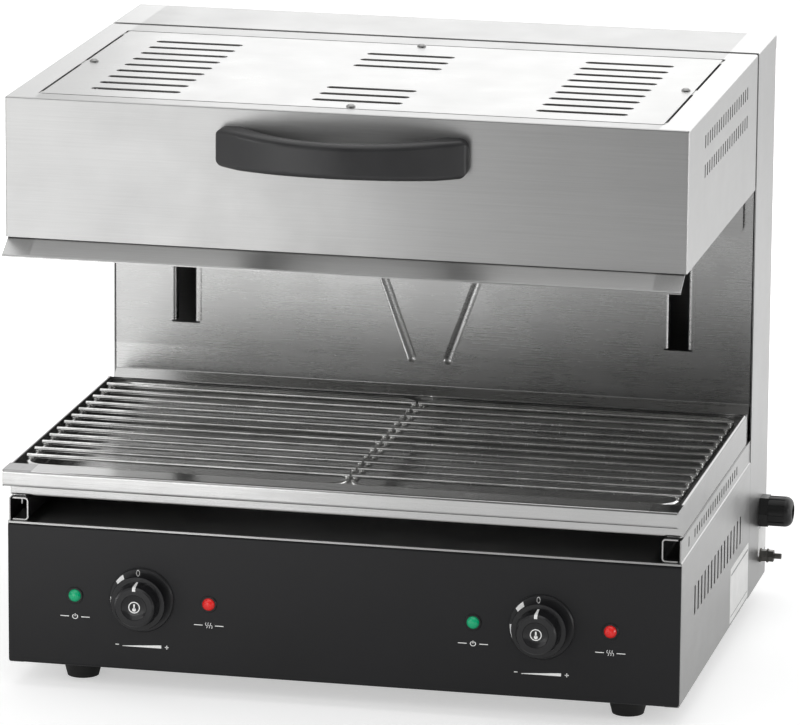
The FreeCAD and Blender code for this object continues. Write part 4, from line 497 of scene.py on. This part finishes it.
def foil_label(name, colour):
    """Blank silvery label with a satin face and slight creases."""
    finish = Finish(name)
    creases = finish.noise(60.0, detail=5.0)
    return finish.patchy(creases, colour, (0.94, 1.04), (0.4, 0.55), (creases, 0.15, 0.0003), Metallic=0.1)


def studio_surface(name, shade, front_share):
    """Pale floor that keeps shadows, white to the camera far off and duller in what metal shows of it."""
    finish = Finish(name)
    ray = finish.node("ShaderNodeLightPath").outputs
    distance = finish.calculate("ShaderNodeVectorMath", "LENGTH", (finish.place,))["Value"]
    away = finish.spread(distance, 0.45, 1.0, start=0.5, end=1.6)
    in_front = finish.spread(finish.axes(finish.place)["Y"], front_share, 1.0, start=-1.75, end=-1.25)
    nearby = finish.spread(distance, 0.3, 1.0, start=0.4, end=1.0)
    tone = finish.shades(finish.spread(finish.noise(0.8, detail=2.0)), (shade, shade, shade), 0.985, 1.0)
    shown = finish.maths("ADD", ray["Is Camera Ray"], ray["Is Transmission Ray"])
    lit = finish.maths("MULTIPLY", finish.maths("MULTIPLY", in_front, nearby), 0.5)
    glow = finish.maths("ADD", finish.maths("MULTIPLY", shown, away),
                        finish.maths("MULTIPLY", ray["Is Glossy Ray"], lit))
    return finish.done(
        Base_Color=finish.mix(finish.maths("MULTIPLY", ray["Is Glossy Ray"], 0.35), tone, (0, 0, 0)),
        Roughness=0.85, Normal=finish.bump(finish.noise(180.0), 0.03, 0.0005),
        Emission_Color=WHITE, Emission_Strength=glow)


# Mesh helpers

def add_object(name, data):
    """New object in the scene."""
    holder = bpy.data.objects.new(name, data)
    bpy.context.scene.collection.objects.link(holder)
    return holder


def settle(name, mesh_data, body, finish):
    """Turns mesh data into a piece that rides on a body."""
    bmesh.ops.remove_doubles(mesh_data, verts=mesh_data.verts, dist=1e-6)
    bmesh.ops.recalc_face_normals(mesh_data, faces=mesh_data.faces)
    mesh = bpy.data.meshes.new(name)
    mesh_data.to_mesh(mesh)
    mesh_data.free()
    mesh.materials.append(finish)
    piece = add_object(name, mesh)
    if body:
        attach(piece, body)
    return piece


def join_copy(target, source, matrix=IN_PLACE):
    """Adds one mesh's shape to another at a place, and frees it."""
    bmesh.ops.transform(source, matrix=matrix, verts=source.verts)
    carrier = bpy.data.meshes.new("carrier")
    source.to_mesh(carrier)
    source.free()
    target.from_mesh(carrier)
    bpy.data.meshes.remove(carrier)


def draw_out(shape, *way):
    """Gives a flat shape a thickness along a way, and hands it back."""
    found = bmesh.ops.extrude_face_region(shape, geom=list(shape.faces))
    moved = [part for part in found["geom"] if isinstance(part, bmesh.types.BMVert)]
    bmesh.ops.translate(shape, verts=moved, vec=way)
    return shape


def flat_ring(radius, width, height, segments=40, squeeze=1.0):
    """Raised ring, round or squeezed to an oval, about the origin."""
    shape = bmesh.new()
    bmesh.ops.create_circle(shape, cap_ends=True, radius=radius, segments=segments)
    found = bmesh.ops.inset_region(shape, faces=list(shape.faces), thickness=width, use_even_offset=True,
                                    use_boundary=True)
    rim = set(found["faces"])
    bmesh.ops.delete(shape, geom=[face for face in shape.faces if face not in rim], context="FACES")
    bmesh.ops.scale(shape, vec=(squeeze, 1, 1), verts=shape.verts)
    return draw_out(shape, 0, 0, height)


def flat_disc(radius, height):
    """Raised disc about the origin."""
    shape = bmesh.new()
    bmesh.ops.create_circle(shape, cap_ends=True, radius=radius, segments=24)
    return draw_out(shape, 0, 0, height)


def flat_plate(corners, height):
    """Raised plate with straight edges."""
    shape = bmesh.new()
    shape.faces.new([shape.verts.new((x, y, 0)) for x, y in corners])
    bmesh.ops.recalc_face_normals(shape, faces=shape.faces)
    if shape.faces[:][0].normal.z < 0:
        bmesh.ops.reverse_faces(shape, faces=shape.faces)
    return draw_out(shape, 0, 0, height)


def flat_bar(left, bottom, right, top, height=PRINT_RISE):
    """Raised rectangle."""
    return flat_plate([(left, bottom), (right, bottom), (right, top), (left, top)], height)


def flat_sector(inner, outer, start, sweep, height, steps=24, taper=0.0):
    """Raised part of a ring through a sweep in degrees, its inner edge drawn out as it goes."""
    shape = bmesh.new()
    start = math.radians(start)
    sweep = math.radians(sweep)
    ends = [shape.verts.new((reach * math.cos(start), reach * math.sin(start), 0))
            for reach in (inner, outer)]
    edge = shape.edges.new(ends)
    bmesh.ops.spin(shape, geom=[*ends, edge], cent=(0, 0, 0), axis=(0, 0, 1), angle=sweep, steps=steps,
                   use_merge=False)
    for vertex in shape.verts:
        reach = vertex.co.length
        turned = (math.atan2(vertex.co.y, vertex.co.x) - start) % math.tau / sweep
        wanted = reach + taper * turned * (outer - reach)
        vertex.co *= wanted / reach
    return draw_out(shape, 0, 0, height)


def on_front(x, y, z):
    """Turns a flat shape to face the front at a place."""
    return Matrix.Translation((x, y, z)) @ Matrix.Rotation(QUARTER_TURN, 4, "X")


def on_side(x, y, z):
    """Turns a flat shape to face right at a place, its width running to the back."""
    upright = Matrix.Rotation(QUARTER_TURN, 4, "Z") @ Matrix.Rotation(QUARTER_TURN, 4, "X")
    return Matrix.Translation((x, y, z)) @ upright


def paint(finish, *names):
    """Gives CAD nodes a finish."""
    for name in names:
        for slot in NODES[name].material_slots:
            slot.material = finish


def paint_slot(slot_name, finish):
    """Gives a finish to every CAD node that the record puts in a material slot."""
    for node in NODES.values():
        for slot in node.material_slots:
            if slot.material and slot.material.name.split(".")[0] == slot_name:
                slot.material = finish


def middles(name):
    """Middles of the two round pieces of a node, left and right, as (x, z), with the node's front plane."""
    low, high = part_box(name)
    radius = (high.z - low.z) / 2
    height = (high.z + low.z) / 2
    return [(low.x + radius, height), (high.x - radius, height)], low.y


def face_middle(name):
    """Middle of a node's front."""
    low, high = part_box(name)
    return (low.x + high.x) / 2, low.y, (low.z + high.z) / 2


# Operators

class GRILL_OT_outer_sheets(Operator):
    """Finish the outer sheets in brushed stainless steel"""
    bl_idname = "grill.outer_sheets"
    bl_label = "Outer Sheets"

    def execute(self, context):
        looks = context.scene.grill_finishes
        colour = looks.sheet_colour
        gloss = looks.sheet_roughness
        paint_slot("stainless_outer", brushed_sheet("Brushed sheet", colour, gloss))
        bright = tuple(min(1.0, part * 1.12) for part in colour)
        paint(brushed_sheet("Bright brushed sheet", bright, gloss - 0.03, contrast=0.06),
              "head_top_cover", "head_rear_shield")
        paint(brushed_sheet("Column front sheet", bright, gloss - 0.06, flanges=False),
              "column_front_panel")
        # The tray's faces that look along X are darkened as painted shade.
        paint(brushed_sheet("Tray sheet", bright, gloss - 0.15, anisotropy=0.35, side_shade_share=0.62),
              "grease_tray")
        return {"FINISHED"}


class GRILL_OT_inner_sheets(Operator):
    """Finish the hidden sheets and brackets in plain mill steel, and the rails in a dark sheet whose
    darkness is painted shade
    """
    bl_idname = "grill.inner_sheets"
    bl_label = "Inner Sheets"

    def execute(self, context):
        colour = context.scene.grill_finishes.inner_colour
        paint_slot("stainless_inner", mill_sheet("Mill sheet", colour, 0.42))
        # The dark rail colour is painted shade for the inside of the rails; the front cut edges keep the
        # light edge colour.
        rail = shaded_rail("Rail sheet", (0.13, 0.13, 0.13), edge_colour=(0.62, 0.62, 0.61))
        paint(rail, "tray_rail_left", "tray_rail_right")
        return {"FINISHED"}


class GRILL_OT_front_panel(Operator):
    """Finish the front panel in black powder coat"""
    bl_idname = "grill.front_panel"
    bl_label = "Front Panel"

    def execute(self, context):
        colour = context.scene.grill_finishes.enamel_colour
        paint_slot("panel_black", powder_coat("Black powder coat", colour, 0.42))
        return {"FINISHED"}


class GRILL_OT_mouldings(Operator):
    """Finish the handle, knobs, dials, feet and other mouldings"""
    bl_idname = "grill.mouldings"
    bl_label = "Mouldings"

    def execute(self, context):
        looks = context.scene.grill_finishes
        knob = looks.knob_colour
        for slot, name, colour, roughness, grain, depth in (
                ("handle_black", "Handle moulding", looks.handle_colour, 0.4, 900.0, 0.3),
                ("knob_black", "Knob moulding", knob, 0.2, 1400.0, 0.25),
                ("dial_plate", "Dial moulding", knob, 0.38, 1800.0, 0.15),
                ("nylon_black", "Black nylon", (0.006, 0.006, 0.006), 0.36, 1400.0, 0.25),
                ("foot_rubber", "Foot rubber", (0.016, 0.016, 0.016), 0.68, 700.0, 0.5),
                ("pulley_nylon", "Pulley nylon", (0.68, 0.66, 0.6), 0.42, 1400.0, 0.25),
                ("phenolic_brown", "Brown phenolic", (0.11, 0.045, 0.025), 0.36, 500.0, 0.4)):
            paint_slot(slot, moulded_plastic(name, colour, roughness, grain, depth))
        return {"FINISHED"}


class GRILL_OT_metal_parts(Operator):
    """Finish the grids, rods, screws, weights, bushes and ropes"""
    bl_idname = "grill.metal_parts"
    bl_label = "Metal Parts"

    def execute(self, context):
        wire = context.scene.grill_finishes.wire_colour
        paint_slot("chromed_wire", plated_wire("Plated wire", wire, 0.2))
        for slot, name, colour, roughness, pitch in (
                ("hard_steel", "Ground steel", (0.55, 0.55, 0.54), 0.2, 1500.0),
                ("zinc_screw", "Zinc plate", (0.56, 0.57, 0.58), 0.3, 900.0),
                ("bronze_bush", "Sintered bronze", (0.48, 0.31, 0.14), 0.42, 1100.0),
                ("brass_stud", "Dulled stud metal", (0.15, 0.145, 0.135), 0.36, 1300.0)):
            paint_slot(slot, turned_metal(name, colour, roughness, pitch))
        paint(NODES["bonding_stud"].material_slots[0].material, "bonding_nuts")
        paint(turned_metal("Dulled screw metal", (0.30, 0.30, 0.295), 0.34, 900.0), "head_cover_screws")
        paint_slot("weight_steel", mill_sheet("Weight steel", (0.2, 0.2, 0.205), 0.55))
        paint_slot("wire_rope", laid_rope("Wire rope", (0.5, 0.5, 0.49)))
        return {"FINISHED"}


class GRILL_OT_lift_ropes(Operator):
    """Copy each lift rope node into a smooth-shaded piece of its own and hide the node"""
    bl_idname = "grill.lift_ropes"
    bl_label = "Lift Ropes"

    def execute(self, context):
        for side, body in (("front", "head"), ("back", "counterweight")):
            node = NODES[f"lift_cables_{side}"]
            shape = bmesh.new()
            shape.from_mesh(node.data)
            run = settle(f"lift_ropes_{side}", shape, None, node.material_slots[0].material)
            run.data.shade_smooth()
            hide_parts(node.name)
            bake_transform(run)
        return {"FINISHED"}


class GRILL_OT_heating_parts(Operator):
    """Finish the heating elements, their terminals and the insulation"""
    bl_idname = "grill.heating_parts"
    bl_label = "Heating Parts"

    def execute(self, context):
        paint_slot("element_sheath", fired_sheath("Fired sheath", (0.22, 0.205, 0.19)))
        paint_slot("terminal_ceramic", glazed_ceramic("Steatite", (0.74, 0.71, 0.64)))
        paint_slot("mineral_wool", fibre_slab("Mineral wool", (0.5, 0.45, 0.33)))
        return {"FINISHED"}


class GRILL_OT_pilot_lenses(Operator):
    """Finish the green and red lenses of the pilot lights"""
    bl_idname = "grill.pilot_lenses"
    bl_label = "Pilot Lenses"

    def execute(self, context):
        looks = context.scene.grill_finishes
        paint_slot("lens_green", clear_lens("Green lens", looks.power_colour, 0.35))
        paint_slot("lens_red", clear_lens("Red lens", looks.heat_colour, 0.35))
        return {"FINISHED"}


def white_ink():
    """The one ink of all printed marks."""
    known = bpy.data.materials.get("White ink")
    return known or printed_ink("White ink", bpy.context.scene.grill_finishes.print_colour)


class GRILL_OT_dial_marks(Operator):
    """Print a nought, a block and a heat wedge on each dial"""
    bl_idname = "grill.dial_marks"
    bl_label = "Dial Marks"

    def execute(self, context):
        marks = context.scene.grill_marks
        places, front = middles("dial_rings")
        squeeze = marks.zero_width / marks.zero_height
        for side, (x, z) in zip(SIDES, places):
            shape = bmesh.new()
            matrix = on_front(x, front + PRINT_RISE, z)
            nought = flat_ring(marks.zero_height / 2, NOUGHT_LINE, THICK_PRINT, 32, squeeze)
            join_copy(shape, nought, matrix @ Matrix.Translation(NOUGHT_PLACE))
            block = (self.on_circle(BLOCK_OUTER, BLOCK_OUTER_ANGLES)
                     + self.on_circle(BLOCK_INNER, BLOCK_INNER_ANGLES))
            join_copy(shape, flat_plate(block, THICK_PRINT), matrix)
            wedge = flat_sector(WEDGE_INNER, WEDGE_OUTER, WEDGE_START, WEDGE_SWEEP, THICK_PRINT,
                                taper=WEDGE_TAPER)
            join_copy(shape, wedge, matrix)
            settle(f"dial_marks_{side}", shape, "base", white_ink())
        return {"FINISHED"}

    def on_circle(self, radius, angles):
        """Points on a circle at angles in degrees."""
        return [(radius * math.cos(math.radians(angle)), radius * math.sin(math.radians(angle)))
                for angle in angles]


class GRILL_OT_knob_dishes(Operator):
    """Hollow each knob's face softly and round its edges"""
    bl_idname = "grill.knob_dishes"
    bl_label = "Knob Dishes"

    def execute(self, context):
        finish = NODES["knob_left"].material_slots[0].material
        for side in SIDES:
            x, front, z = face_middle(f"knob_{side}")
            shape = bmesh.new()
            line = [shape.verts.new((reach, 0, -depth)) for reach, depth in DISH_PROFILE]
            edges = [shape.edges.new(pair) for pair in zip(line, line[1:])]
            bmesh.ops.spin(shape, geom=[*line, *edges], cent=(0, 0, 0), axis=(0, 0, 1), angle=math.tau,
                           steps=64, use_merge=True)
            bmesh.ops.transform(shape, matrix=on_front(x, front + DISH_RISE, z), verts=shape.verts)
            dish = settle(f"knob_dish_{side}", shape, f"knob_{side}", finish)
            dish.data.shade_smooth()
            rounding = NODES[f"knob_{side}"].modifiers.new("Soft edges", "BEVEL")
            rounding.width = KNOB_EDGE
            rounding.segments = 3
            rounding.limit_method = "ANGLE"
            rounding.angle_limit = math.radians(KNOB_EDGE_ANGLE)
        return {"FINISHED"}


class GRILL_OT_knob_marks(Operator):
    """Print the pointer line and the heat symbol on each knob"""
    bl_idname = "grill.knob_marks"
    bl_label = "Knob Marks"

    def execute(self, context):
        marks = context.scene.grill_marks
        for side in SIDES:
            x, front, z = face_middle(f"knob_{side}")
            shape = bmesh.new()
            join_copy(shape, self.pointer(marks.pointer_width), Matrix.Translation((x, front, z)))
            dish = on_front(x, front + ICON_DEPTH - PRINT_RISE, z)
            join_copy(shape, flat_ring(marks.icon_radius, ICON_LINE, THICK_PRINT), dish)
            bulb = dish @ Matrix.Translation((0, -BULB_DROP, 0))
            join_copy(shape, flat_disc(BULB_RADIUS, THICK_PRINT), bulb)
            join_copy(shape, flat_bar(-STEM_HALF, STEM_START, STEM_HALF, STEM_END, THICK_PRINT), dish)
            settle(f"knob_marks_{side}", shape, f"knob_{side}", white_ink())
        return {"FINISHED"}

    def pointer(self, width):
        """Line that runs along the grip, widening, and over its edge onto the face."""
        shape = bmesh.new()
        outer = [shape.verts.new((-width / 2, y, z)) for y, z in POINTER_PATH]
        inner = [shape.verts.new((-width / 2, y + POINTER_BACK, z - POINTER_DROP))
                 for y, z in reversed(POINTER_PATH)]
        shape.faces.new(outer + inner)
        draw_out(shape, width, 0, 0)
        grip_edge = POINTER_PATH[1][0] + POINTER_DROP
        for vertex in shape.verts:
            if vertex.co.y > grip_edge:
                vertex.co.x *= POINTER_TAPER
        return shape


class GRILL_OT_panel_symbols(Operator):
    """Print plain symbols under the knobs and the pilot lights"""
    bl_idname = "grill.panel_symbols"
    bl_label = "Panel Symbols"

    def execute(self, context):
        marks = context.scene.grill_marks
        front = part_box("control_panel")[0].y + PRINT_RISE / 2
        knobs, _ = middles("dial_rings")
        light_line = knobs[0][1] - marks.light_symbol_drop
        shape = bmesh.new()
        for x, z in knobs:
            place = on_front(x, front, z - marks.symbol_drop) @ Matrix.Scale(SYMBOL_SCALE, 4)
            join_copy(shape, self.heat_scale(), place)
        for light, symbol in (("power", self.power_symbol), ("heat", self.heat_symbol)):
            for x, _ in middles(f"{light}_light_lenses")[0]:
                place = on_front(x, front, light_line) @ Matrix.Diagonal(LIGHT_SYMBOL_STRETCH)
                join_copy(shape, symbol(), place)
        settle("panel_symbols", shape, "base", white_ink())
        return {"FINISHED"}

    def heat_scale(self):
        """Rising wedge between a minus and a plus."""
        shape = flat_plate(SCALE_WEDGE, PRINT_RISE)
        plus_middle = (PLUS_START + PLUS_END) / 2
        join_copy(shape, flat_bar(MINUS_START, -LINE_HALF, MINUS_END, LINE_HALF))
        join_copy(shape, flat_bar(PLUS_START, -LINE_HALF, PLUS_END, LINE_HALF))
        join_copy(shape, flat_bar(plus_middle - LINE_HALF, -PLUS_HALF, plus_middle + LINE_HALF, PLUS_HALF))
        return shape

    def side_bars(self):
        """Short bars either side of a light's symbol."""
        shape = bmesh.new()
        for start in SIDE_BAR_STARTS:
            join_copy(shape, flat_bar(start, -LINE_HALF, start + SIDE_BAR_LENGTH, LINE_HALF))
        return shape

    def power_symbol(self):
        """Broken ring with a bar, between two short bars."""
        shape = self.side_bars()
        join_copy(shape, flat_sector(POWER_RING_INNER, POWER_RING_OUTER, 120, 300, PRINT_RISE, 30))
        join_copy(shape, flat_bar(-POWER_BAR_HALF, POWER_BAR_START, POWER_BAR_HALF, POWER_BAR_END))
        return shape

    def heat_symbol(self):
        """Three short waves, between two short bars."""
        shape = self.side_bars()
        narrow = Matrix.Scale(WAVE_SQUEEZE, 4, (1, 0, 0))
        for x in (-WAVE_PITCH, 0.0, WAVE_PITCH):
            for rise, start in ((WAVE_RISE, 100), (-WAVE_RISE, -80)):
                wave = flat_sector(WAVE_INNER, WAVE_OUTER, start, 160, PRINT_RISE, 10)
                join_copy(shape, wave, Matrix.Translation((x, rise, 0)) @ narrow)
        return shape


class GRILL_OT_blank_labels(Operator):
    """Stick the blank rating label and the small blank sticker on the right side"""
    bl_idname = "grill.blank_labels"
    bl_label = "Blank Labels"

    def execute(self, context):
        finish = foil_label("Pale label", (0.88, 0.88, 0.87))
        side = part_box("base_side_right")[1].x
        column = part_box("column_shell")[1].x
        label = on_side(side - LABEL_SUNK, LABEL_BACK, LABEL_UP)
        self.plate("rating_label", label, LABEL_WIDTH, LABEL_HEIGHT, finish)
        sticker = on_side(column - LABEL_SUNK, STICKER_BACK, STICKER_UP)
        self.plate("side_sticker", sticker, STICKER_WIDTH, STICKER_HEIGHT, finish)
        ink = printed_ink("Grey label rule", (0.22, 0.22, 0.22))
        shape = bmesh.new()
        for height in RULE_HEIGHTS:
            rule = flat_bar(-RULE_REACH, height, RULE_REACH, height + RULE_WIDTH)
            join_copy(shape, rule, on_side(side - LABEL_SUNK + LABEL_THICKNESS, LABEL_BACK, LABEL_UP))
        settle("rating_label_rules", shape, "base", ink)
        return {"FINISHED"}

    def plate(self, name, place, width, height, finish):
        """Thin label with rounded corners."""
        shape = flat_bar(-width / 2, -height / 2, width / 2, height / 2, LABEL_THICKNESS)
        upright = [edge for edge in shape.edges
                   if abs((edge.verts[0].co - edge.verts[1].co).normalized().z) > 0.9]
        bmesh.ops.bevel(shape, geom=upright, offset=LABEL_CORNER, segments=4, profile=0.5, affect="EDGES",
                        material=-1)
        bmesh.ops.transform(shape, matrix=place, verts=shape.verts)
        settle(name, shape, "base", finish)


class GRILL_OT_screw_recess_shade(Operator):
    """Set dark crosses in the screws of the top cover and the back cover, painted shade where their cross
    recesses are
    """
    bl_idname = "grill.screw_recesses"
    bl_label = "Screw Recesses"

    def execute(self, context):
        # The crosses are dark plates on the screw heads: painted shade standing for the cross recesses.
        finish = moulded_plastic("Recess shade", (0.015, 0.015, 0.015), 0.6, 1400.0, 0.25)
        for piece, screws, body, axis, turn in (
                ("cover_screw_recesses", "head_cover_screws", "head", 2, 0),
                ("back_screw_recesses", "back_cover_screws", "base", 1, -QUARTER_TURN)):
            shape = bmesh.new()
            for place in self.screw_tops(screws, axis):
                place[axis] -= CROSS_SUNK
                join_copy(shape, self.cross(), Matrix.Translation(place) @ Matrix.Rotation(turn, 4, "X"))
            settle(piece, shape, body, finish)
        return {"FINISHED"}

    def cross(self):
        """Cross of two crossed bars, tapered at its ends."""
        tip = CROSS_HALF * CROSS_TAPER
        quarter = [Vector((CROSS_ARM, tip)), Vector((CROSS_HALF, CROSS_HALF)), Vector((tip, CROSS_ARM))]
        turns = [Matrix.Rotation(QUARTER_TURN * count, 2) for count in range(4)]
        return flat_plate([turn @ corner for turn in turns for corner in quarter], CROSS_RISE)

    def screw_tops(self, name, axis):
        """Middle of the outer face of each screw's head, which looks along an axis."""
        points = [vertex.co for vertex in NODES[name].data.vertices]
        top = max(point[axis] for point in points)
        crowns = [point for point in points if top - point[axis] < SCREW_CROWN]
        groups = []
        for point in crowns:
            near = next((group for group in groups if (group[0] - point).length < SCREW_REACH), None)
            if near:
                near.append(point)
            else:
                groups.append([point])
        for group in groups:
            middle = sum(group, Vector()) / len(group)
            middle[axis] = top
            yield middle


class GRILL_OT_grid_welds(Operator):
    """Put the flattened spot welds where each grid's wires cross its frame"""
    bl_idname = "grill.grid_welds"
    bl_label = "Grid Welds"

    def execute(self, context):
        radius = context.scene.grill_marks.weld_radius
        finish = plated_wire("Weld spots", (0.75, 0.75, 0.73), 0.3)
        for side in SIDES:
            name = f"grill_grid_{side}"
            low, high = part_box(name)
            shape = bmesh.new()
            for y in self.wire_rows(name, high.z):
                for x in (low.x + WELD_INSET, high.x - WELD_INSET):
                    spot = bmesh.new()
                    bmesh.ops.create_icosphere(spot, subdivisions=2, radius=radius)
                    place = Matrix.Translation((x, y, high.z - WELD_DROP))
                    join_copy(shape, spot, place @ Matrix.Diagonal(WELD_STRETCH))
            settle(f"grid_welds_{side}", shape, f"grid_{side}", finish)
        return {"FINISHED"}

    def wire_rows(self, name, top):
        """Places along Y of the cross wires, read from their highest points."""
        places = [vertex.co for vertex in NODES[name].data.vertices]
        tops = sorted(place.y for place in places if top - place.z < WIRE_CROWN)
        rows = []
        for y in tops:
            if not rows or y - rows[-1] > WIRE_APART:
                rows.append(y)
        return rows


class GRILL_OT_studio(Operator):
    """Set the floor, the softboxes, the surrounding light and the camera"""
    bl_idname = "grill.studio"
    bl_label = "Studio"

    def execute(self, context):
        studio = context.scene.grill_studio
        self.floor(studio)
        for name, place, target, size, setting in SOFTBOXES:
            self.softbox(name, place, target, size, getattr(studio, f"{setting}_power"))
        bpy.data.objects["front_softbox"].visible_glossy = False
        self.surroundings(studio)
        self.camera(studio)
        context.scene.view_settings.view_transform = "Standard"
        return {"FINISHED"}

    def floor(self, studio):
        """Wide pale floor."""
        shape = bmesh.new()
        bmesh.ops.create_grid(shape, x_segments=8, y_segments=8, size=FLOOR_REACH)
        finish = studio_surface("Pale floor", 0.8, studio.front_share)
        settle("floor", shape, None, finish)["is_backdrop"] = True

    def softbox(self, name, place, target, size, power):
        """Area light that the camera doesn't see."""
        lamp = bpy.data.lights.new(name, "AREA")
        lamp.shape = "RECTANGLE"
        lamp.size, lamp.size_y = size
        lamp.energy = power
        holder = add_object(name, lamp)
        holder.location = place
        holder.rotation_euler = (Vector(target) - Vector(place)).to_track_quat("-Z", "Y").to_euler()
        holder.visible_camera = False

    def surroundings(self, studio):
        """Even fill, white to the camera and through glass, and dimmer to metal in front."""
        world = bpy.data.worlds.new("Studio surroundings")
        bpy.context.scene.world = world
        world.use_nodes = True
        light = Shading(world.node_tree)
        ray = light.node("ShaderNodeLightPath").outputs
        toward = light.axes(light.node("ShaderNodeTexCoord").outputs["Generated"])
        ahead = light.spread(toward["Y"], studio.front_share, 1.0, start=-0.6, end=0.3)
        flanks = light.spread(light.maths("ABSOLUTE", toward["X"]), 1.0, 0.8, start=0.35, end=0.85)
        mirrored = light.mix(ray["Is Glossy Ray"], studio.fill, light.maths("MULTIPLY", ahead, flanks),
                             kind="FLOAT")
        shown = light.maths("ADD", ray["Is Camera Ray"], ray["Is Transmission Ray"])
        strength = light.mix(shown, mirrored, 1.0, kind="FLOAT")
        background = light.node("ShaderNodeBackground", Color=WHITE, Strength=strength)
        light.node("ShaderNodeOutputWorld", Surface=background.outputs["Background"])

    def camera(self, studio):
        """Camera at the photograph's angle."""
        lens = bpy.data.cameras.new("photo_camera")
        lens.sensor_width = SENSOR_WIDTH
        lens.lens = studio.lens
        lens.clip_end = 200.0
        holder = add_object("photo_camera", lens)
        turn = studio.azimuth
        rise = studio.elevation
        back = Vector((math.sin(turn) * math.cos(rise), -math.cos(turn) * math.cos(rise), math.sin(rise)))
        holder.location = Vector(studio.aim) + back * studio.distance
        holder.rotation_mode = "QUATERNION"
        level = (-back).to_track_quat("-Z", "Y").to_matrix()
        holder.rotation_quaternion = (level @ Matrix.Rotation(studio.roll, 3, "Z")).to_quaternion()
        bpy.context.scene.camera = holder


OPERATORS = (
    GRILL_OT_outer_sheets, GRILL_OT_inner_sheets, GRILL_OT_front_panel, GRILL_OT_mouldings,
    GRILL_OT_metal_parts, GRILL_OT_lift_ropes, GRILL_OT_heating_parts, GRILL_OT_pilot_lenses,
    GRILL_OT_dial_marks, GRILL_OT_knob_dishes, GRILL_OT_knob_marks, GRILL_OT_panel_symbols,
    GRILL_OT_blank_labels, GRILL_OT_screw_recess_shade, GRILL_OT_grid_welds, GRILL_OT_studio,
)


class GRILL_PT_dressing(Panel):
    """Lists the settings and the steps of the dressing"""
    bl_idname = "GRILL_PT_dressing"
    bl_label = "Grill Dressing"
    bl_space_type = "VIEW_3D"
    bl_region_type = "UI"
    bl_category = "Grill"

    def draw(self, context):
        for name, group in SETTINGS.items():
            box = self.layout.box()
            for setting in group.__annotations__:
                box.prop(getattr(context.scene, name), setting)
        for operator in OPERATORS:
            self.layout.operator(operator.bl_idname)


SETTINGS = {"grill_finishes": GrillFinishes, "grill_marks": GrillMarks, "grill_studio": GrillStudio}
CLASSES = (*SETTINGS.values(), *OPERATORS, GRILL_PT_dressing)


def register():
    """Registers the classes and hangs the settings on the scene."""
    for item in CLASSES:
        bpy.utils.register_class(item)
    for name, group in SETTINGS.items():
        setattr(bpy.types.Scene, name, PointerProperty(type=group))


def unregister():
    """Takes the settings and the classes away again."""
    for name in SETTINGS:
        delattr(bpy.types.Scene, name)
    for item in reversed(CLASSES):
        bpy.utils.unregister_class(item)


def main():
    """Registers the add-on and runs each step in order."""
    register()
    for operator in OPERATORS:
        getattr(bpy.ops.grill, operator.bl_idname.split(".")[1])()
    boxes = {"cad": CAD_BOX, "visual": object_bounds()}
    {name: [list(corner) for corner in box] for name, box in boxes.items()}


if __name__ == "__main__":
    main()
